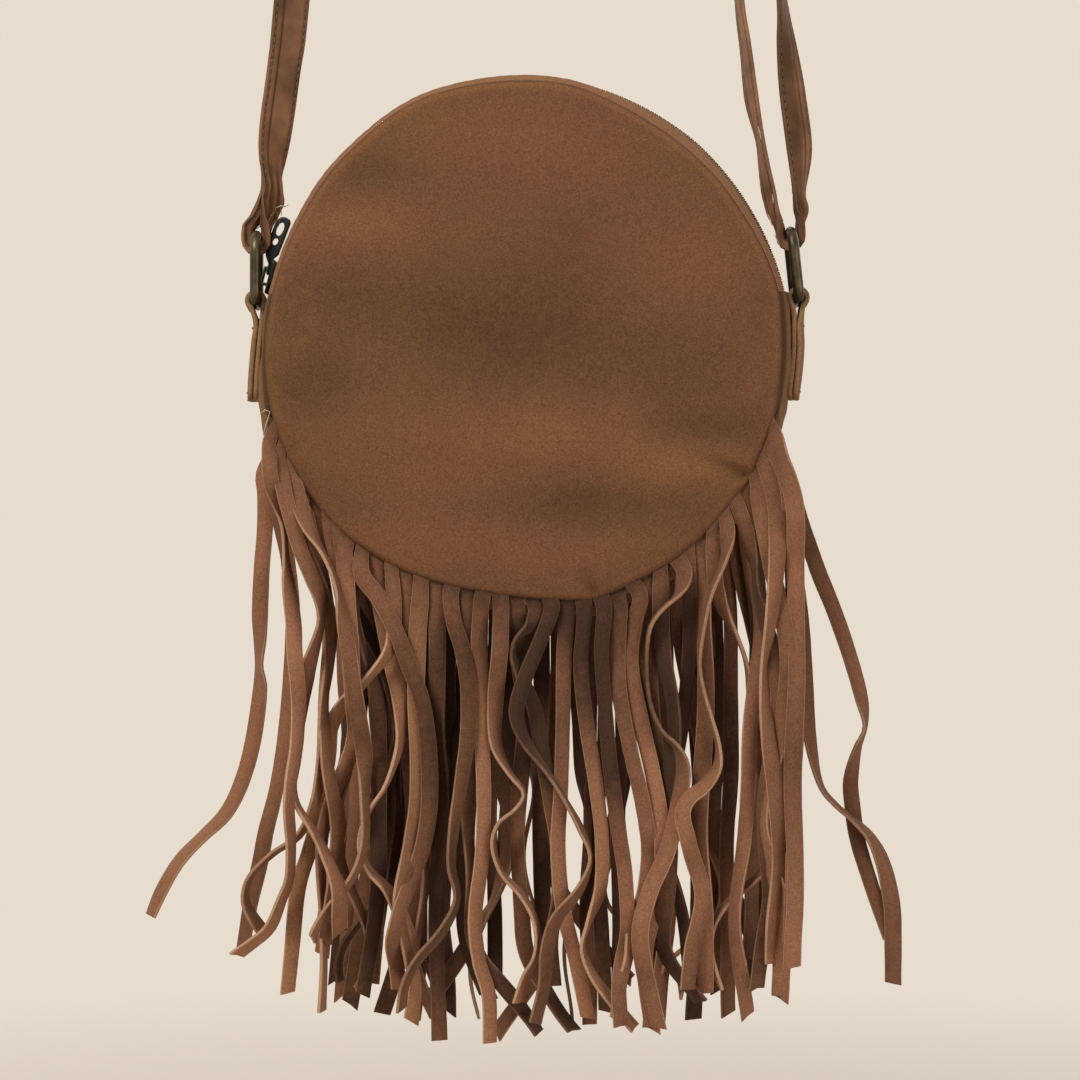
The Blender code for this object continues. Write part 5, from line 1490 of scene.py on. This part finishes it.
def steps_to(length):
    """Distances along a ribbon: close together at the root, wider below."""
    fine = np.arange(0.0, FINE_END, FINE_STEP)
    return np.concatenate((fine, np.arange(FINE_END, length, STEP), (length,)))


def traced_route(index, points, row_y):
    """Middle line and twist of a ribbon that follows a known route."""
    _, root = root_of(index)
    rows = [(*root, 0.0, 0.0)]
    for x, y, twist in points:
        spot = from_picture(x, y, row_y)
        if spot[1] < root[1] - 5.0:
            rows.append((*spot, 0.0, twist))
    made, at = spaced(rows, 0.65)
    along = steps_to(at[-1])
    route = np.stack([np.interp(along, at, made[:, k]) for k in (0, 1)], axis=1)
    return along, route, np.radians(np.interp(along, at, made[:, 3])) * ease(2.0, 18.0, along)


def free_route(index, seed, calm):
    """A ribbon left to hang: it falls at once, drifts, and turns on edge where it curls.
    Calm ribbons keep flatter and straighter, and fill the space behind the others."""
    degrees, root = root_of(index + 0.35 * calm)
    dice = random.Random(seed * 100 + index)
    lean = (270.0 - degrees) / (270.0 - FRINGE_START)
    tip = LOWER_EDGE + dice.uniform(-9.0, 12.0) + 20.0 * abs(lean) ** 2
    length = min(root[1] - tip + 6.0, LONGEST)
    s = steps_to(length)
    # Twist: a steady turn, a slow swing, perhaps one turn on edge, perhaps a curly lower end
    turned_left = lean > -0.4
    bias = math.radians(-16.0 if turned_left else 12.0)
    swing = math.radians(dice.uniform(10.0, 42.0)) * (1.0 - 0.55 * calm)
    wave, phase = dice.uniform(70.0, 150.0), dice.uniform(0.0, 2 * math.pi)
    twist = bias + swing * np.sin(phase + 2 * math.pi * s / wave)
    if dice.random() < 0.5 - 0.3 * calm:
        at, spread = dice.uniform(45.0, 140.0), dice.uniform(12.0, 26.0)
        most = math.radians(dice.uniform(50.0, 85.0)) * dice.choice((-1, -1, 1))
        twist = twist + most * bump(s, at, spread)
    curly = dice.random() < 0.42 - 0.16 * calm
    if curly:
        from_here = dice.uniform(0.38 + 0.1 * calm, 0.68 + 0.12 * calm) * length
        on_edge = math.radians(dice.uniform(68.0, 86.0)) * (-1 if turned_left else 1)
        share = ease(from_here - 14.0, from_here + 6.0, s)
        twist = twist * (1.0 - share) + on_edge * share
    twist = np.clip(twist * ease(4.0, 36.0, s), -MOST_TWIST, MOST_TWIST)
    # Bend: only a ribbon on edge curves much to the side
    bend = dice.uniform(0.010, 0.024) * np.sin(dice.uniform(0.0, 6.28)
                                               + 2 * math.pi * s / dice.uniform(50.0, 95.0))
    bend = bend * (0.15 + abs(np.sin(twist)) ** 1.3) * ease(14.0, 40.0, s)
    if curly:
        curl = dice.uniform(0.030, 0.052) * np.sin(2 * math.pi * (s - from_here) / dice.uniform(52.0, 82.0)
                                                   + dice.uniform(-0.6, 0.6))
        bend = bend + curl * dice.choice((-1, 1)) * ease(from_here - 4.0, from_here + 10.0, s)
    bend = bend * (1.0 - 0.4 * calm)
    heading = np.concatenate(((0.0,), np.cumsum((bend[1:] + bend[:-1]) / 2 * np.diff(s))))
    heading = heading - heading[s > 30.0].mean() * ease(14.0, 45.0, s)
    # The outer ribbons first fall outwards, then come back; some tips are kicked aside
    drift = math.radians(15.0) * ease(0.25, 0.7, lean) + math.radians(4.0) * ease(0.3, 0.8, -lean)
    fall = math.radians(270.0) + drift * (1.0 - ease(38.0, 85.0, s)) - 0.4 * drift * ease(80.0, 150.0, s)
    if abs(lean) < 0.6 and dice.random() < 0.55:
        kicked = dice.uniform(0.66, 0.84) * length
        heading = heading + dice.uniform(-0.75, 0.75) * ease(kicked - 8.0, kicked + 14.0, s)
    angle = fall + heading
    steps = np.stack((np.cos(angle), np.sin(angle)), axis=1)
    middle = (steps[1:] + steps[:-1]) / 2 * np.diff(s)[:, None]
    route = root + np.vstack(((0.0, 0.0), np.cumsum(middle, axis=0)))
    return s, route, twist


def side_from_root(index, s, side):
    """Width directions of a ribbon: along the seam at its root, square to its fall below."""
    degrees, _ = root_of(index)
    turn = math.radians(degrees)
    share = ease(1.0, ROOT_TURNS, s)[:, None]
    seam = np.zeros(side.shape[1])
    seam[0], seam[-1] = -math.sin(turn), math.cos(turn)
    return unit(side * share + seam * (1.0 - share))


def cells_under(place, side, twist):
    """The ground's cells under one row of a ribbon, each with the lift of the ribbon's
    middle face there and the depth of suede on either side of it."""
    half, thick = RIBBON_WIDTH / 2, RIBBON_THICKNESS / 2
    c, t = math.cos(twist), math.sin(twist)
    reach = abs(c) * half + abs(t) * thick + CLEARANCE
    for offset in np.arange(-reach, reach + 0.01, 0.7):
        spot = place + side * offset
        cell = (int((spot[0] - GRID_LEFT) / CELL), int((spot[1] - GRID_LOW) / CELL))
        if 0 <= cell[0] < GRID_WIDE and 0 <= cell[1] < GRID_HIGH:
            if abs(c) > 0.5:
                lift, depth = offset * t / c, thick / abs(c)
            else:
                lift, depth = 0.0, abs(t) * half + thick * abs(c)
            yield cell, lift, min(depth, abs(t) * half + abs(c) * thick)


def lay_row(seed, routes, row_y, order_last, calm):
    """Every ribbon of one row, each laid over those before it, as depths from the header."""
    ground = np.full((GRID_WIDE, GRID_HIGH), LOWEST)
    dice = random.Random(seed)
    order = [k for k in range(RIBBONS) if k not in routes]
    dice.shuffle(order)
    under = len(order) * UNDER_SHARE
    order += [k for k in order_last if k in routes] + [k for k in routes if k not in order_last]
    # At the two ends a ribbon hangs over the roots of those below it
    order = [k for k in order if 3 < k < 36] + [3, 36, 2, 37, 1, 38, 0, 39]
    laid = {}
    for rank, index in enumerate(order):
        # Wish is how far out the ribbon would hang if nothing lay under it
        if index in routes:
            s, route, twist = traced_route(index, routes[index], row_y)
            wish = -2.0 * (1.0 - rank / RIBBONS) * ease(6.0, 50.0, s)
        else:
            s, route, twist = free_route(index, seed, calm)
            inset = dice.uniform(3.0, 14.0) if rank < under else dice.uniform(-1.0, 4.0)
            wish = -inset * ease(8.0, 60.0, s) + dice.uniform(0.3, 1.8) * np.sin(
                s / dice.uniform(11.0, 19.0)) * ease(10.0, 50.0, s)
        heading = unit(np.gradient(route, axis=0) / np.gradient(s)[:, None])
        side = side_from_root(index, s, np.stack((-heading[:, 1], heading[:, 0]), axis=1))
        need = np.full(len(route), LOWEST)
        spans = [(k, *span) for k in range(len(route)) for span in cells_under(route[k], side[k], twist[k])]
        for k, cell, lift, depth in spans:
            need[k] = max(need[k], ground[cell] - lift + depth + CLEARANCE)
        # Rise in time for what lies below, and round the steps off
        need = np.maximum(need, np.where(s < 12.0, np.maximum(wish, 0.0), wish))
        wide = np.array([need[abs(s - here) < min(10.0, 1.5 + 0.6 * here)].max() for here in s])
        out = np.array([np.average(wide, weights=np.exp(-((s - here) / min(6.0, 1.5 + 0.3 * here)) ** 2))
                        for here in s])
        out = np.minimum(out, 0.1 + 0.7 * s)
        for k, cell, lift, depth in spans:
            if s[k] > 1.0:
                ground[cell] = max(ground[cell], out[k] + lift + depth)
        laid[index] = (s, route, twist, out)
    return laid


def ribbon_section(width, thickness, cup):
    """Section of a ribbon: faces slightly cupped, corners eased, cut edges at the sides."""
    w, t, c = width / 2, thickness / 2, 0.2
    return [(-w, -t * 0.45), (-w, t * 0.45), (-w + c, t), (0.0, t - cup), (w - c, t), (w, t * 0.45),
            (w, -t * 0.45), (w - c, -t), (0.0, -t - cup), (-w + c, -t)]


def header_points(front):
    """The uncut band along the seam, as rings of four points."""
    points = []
    for degrees in np.arange(FRINGE_START, FRINGE_END + 0.1, 1.0):
        turn = math.radians(degrees)
        seam = float(seam_at(degrees))
        reach = HEADER_OUTSIDE + 0.5 * math.sin(degrees * 0.8)
        corners = ((-HEADER_INSIDE, -0.6), (-HEADER_INSIDE, 0.45), (reach, 0.45), (reach, -0.6))
        points += [((seam + r) * math.cos(turn), front * (HEADER_Y + v), (seam + r) * math.sin(turn))
                   for r, v in corners]
    return points


def add_fringe_row(name, front, seed, routes, row_y, row_tone, calm, node, order_last=()):
    """Header and ribbons as one mesh, with the cut edges in a lighter finish."""
    dark_middle = 1.15 - 1.14 * calm
    laid = lay_row(seed, routes, row_y, order_last, calm)
    points = header_points(front)
    faces = tube_faces(len(points) // 4, 4)
    tones, hues = [HEADER_TONE] * len(points), [HEADER_HUE] * len(points)
    slots = [0] * len(faces)
    for index in range(RIBBONS):
        s, route, twist, out = laid[index]
        dice = random.Random(seed * 31 + index)
        # Painted shade: ribbons left to hang behind the traced ones, and the back row, are darker
        tone = dice.uniform(-0.6, 0.6) + (0.2 if index in routes else -0.3) + row_tone
        hue = dice.uniform(0.0, 1.0) ** 1.5
        wobble = dice.uniform(0.0, 2 * math.pi)
        broad = RIBBON_WIDTH * dice.uniform(0.93, 1.12)
        slope = np.gradient(s)
        along = unit(np.stack((np.gradient(route[:, 0]) / slope, front * np.gradient(out) / slope,
                               np.gradient(route[:, 1]) / slope), axis=1))
        outward = square_to(along, np.tile((0.0, float(front), 0.0), (len(route), 1)))
        side = side_from_root(index, s, np.cross(outward, along) * -front)
        across = side * np.cos(twist)[:, None] + outward * np.sin(twist)[:, None]
        normal = -side * np.sin(twist)[:, None] + outward * np.cos(twist)[:, None]
        middles = np.stack((route[:, 0], front * (HEADER_Y + out), route[:, 1]), axis=1)
        slant = dice.uniform(-0.8, 0.8)
        own = ease(4.0, 32.0, s)
        root = 1.0 - ease(0.0, 8.0, s)
        base = len(points)
        for k, length in enumerate(s):
            width = broad + 0.25 * math.sin(length * 0.07 + wobble) + dice.uniform(-0.08, 0.08)
            width = ROOT_WIDTH + (width - ROOT_WIDTH) * float(ease(2.0, 14.0, length))
            cup = 0.18 * math.sin(wobble + length * 0.03)
            section = np.array(ribbon_section(width, RIBBON_THICKNESS, cup))
            ring = middles[k] + section[:, :1] * across[k] + section[:, 1:2] * normal[k]
            if k == len(s) - 1:
                ring = ring + along[k] * section[:, :1] * slant
            points += list(ring)
            # Tone varies from ribbon to ribbon and along it; painted shade darkens it under the bag's
            # middle and at the root
            x, _, z = ring.mean(axis=0)
            shaded = dark_middle * math.exp(-((x - DARK_X) / DARK_WIDE) ** 2
                                            - ((z - DARK_Z) / DARK_HIGH) ** 2)
            shade = (tone + 0.28 * math.sin(length * 0.045 + wobble)) * own[k] - shaded
            tones += [shade - 0.35 * root[k]] * len(ring)
            hues += [HEADER_HUE + (hue - HEADER_HUE) * own[k]] * len(ring)
        faces += tube_faces(len(s), len(section), base)
        slots += [int(j in RIBBON_CUTS) for j in range(len(section))] * (len(s) - 1) + [0, 1]
    row = new_piece(name, points, faces)
    row.data.polygons.foreach_set("material_index", slots)
    add_number(row, "ribbon_tone", tones)
    add_number(row, "ribbon_hue", hues)
    mend_faces(row)
    smooth(row, 65)
    fit(row, "bag", "fringe_suede", fringe_face, fringe_cut, node=node)


add_fringe_row("fringe_front", -1, 3, FRONT_ROUTES, -24.0, 0.1, 0.0, "front_fringe", FRONT_ORDER)
add_fringe_row("fringe_back", 1, 4, BACK_ROUTES, 24.0, -0.1, 0.7, "back_fringe")


# Loose threads. The strap and the seam have worn: a few ends of thread have worked out
# where the strap is pleated, along its fold and beside the fringe's first ribbon.
LOOSE_THREAD = 0.24
thread_pale = mottled_material("thread_pale", (0.42, 0.29, 0.18), (0.85, 0.70, 0.52), 2600.0,
                               {"Roughness": 0.6})
# Each thread: its place from front to back in mm, and pixels in the same view as the ribbons
DARK_ENDS = ((-7.5, (266, 222), (270, 213), (274, 209), (277, 213), (275, 221)),
             (-7.8, (271, 214), (275, 205), (279, 206), (280, 214)),
             (-7.2, (268, 228), (273, 219), (278, 218), (277, 225)),
             (-6.2, (272, 56), (268, 59), (268, 62), (272, 65)),
             (-6.2, (271, 64), (267, 67), (267, 70), (270, 73)),
             (-6.2, (264, 148), (260, 151), (259, 156), (262, 161)))
PALE_ENDS = ((-8.2, (274, 206), (279, 204), (283, 205), (287, 203)),
             (-7.2, (757, 129), (759, 135), (760, 142)), (-6.0, (771, 196), (772, 201), (772, 206)),
             (-5.4, (767, 216), (769, 222), (771, 228)), (-5.2, (773, 236), (776, 242), (779, 249)))
SEAM_ENDS = ((-18.4, (259, 412), (263, 409), (268, 411)), (-19.4, (268, 411), (265, 420), (261, 434)))

for name, ends, material, body in (("frayed_threads", DARK_ENDS, thread_brown, "strap"),
                                   ("pale_threads", PALE_ENDS, thread_pale, "strap"),
                                   ("seam_threads", SEAM_ENDS, thread_pale, "bag")):
    lines = []
    for row_y, *spots in ends:
        placed = [from_picture(*spot, row_y) for spot in spots]
        lines.append([(x, row_y, z) for x, z in placed])
    stitch_mesh(name, lines, LOOSE_THREAD, material, body)


# Linings. The bag is lined with plain brown cloth, one disc behind each panel and a
# band inside the gusset. It hardly shows, and only takes its cloth finish here.
lining_cloth = mottled_material("lining_cloth", (0.085, 0.048, 0.028), (0.16, 0.095, 0.055), 2200.0,
                                {"Roughness": 0.8}, bumps=0.3)
for node in ("lining_front", "lining_back", "lining_gusset"):
    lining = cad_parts[node]
    lining.data.materials.clear()
    lining.data.materials.append(lining_cloth)
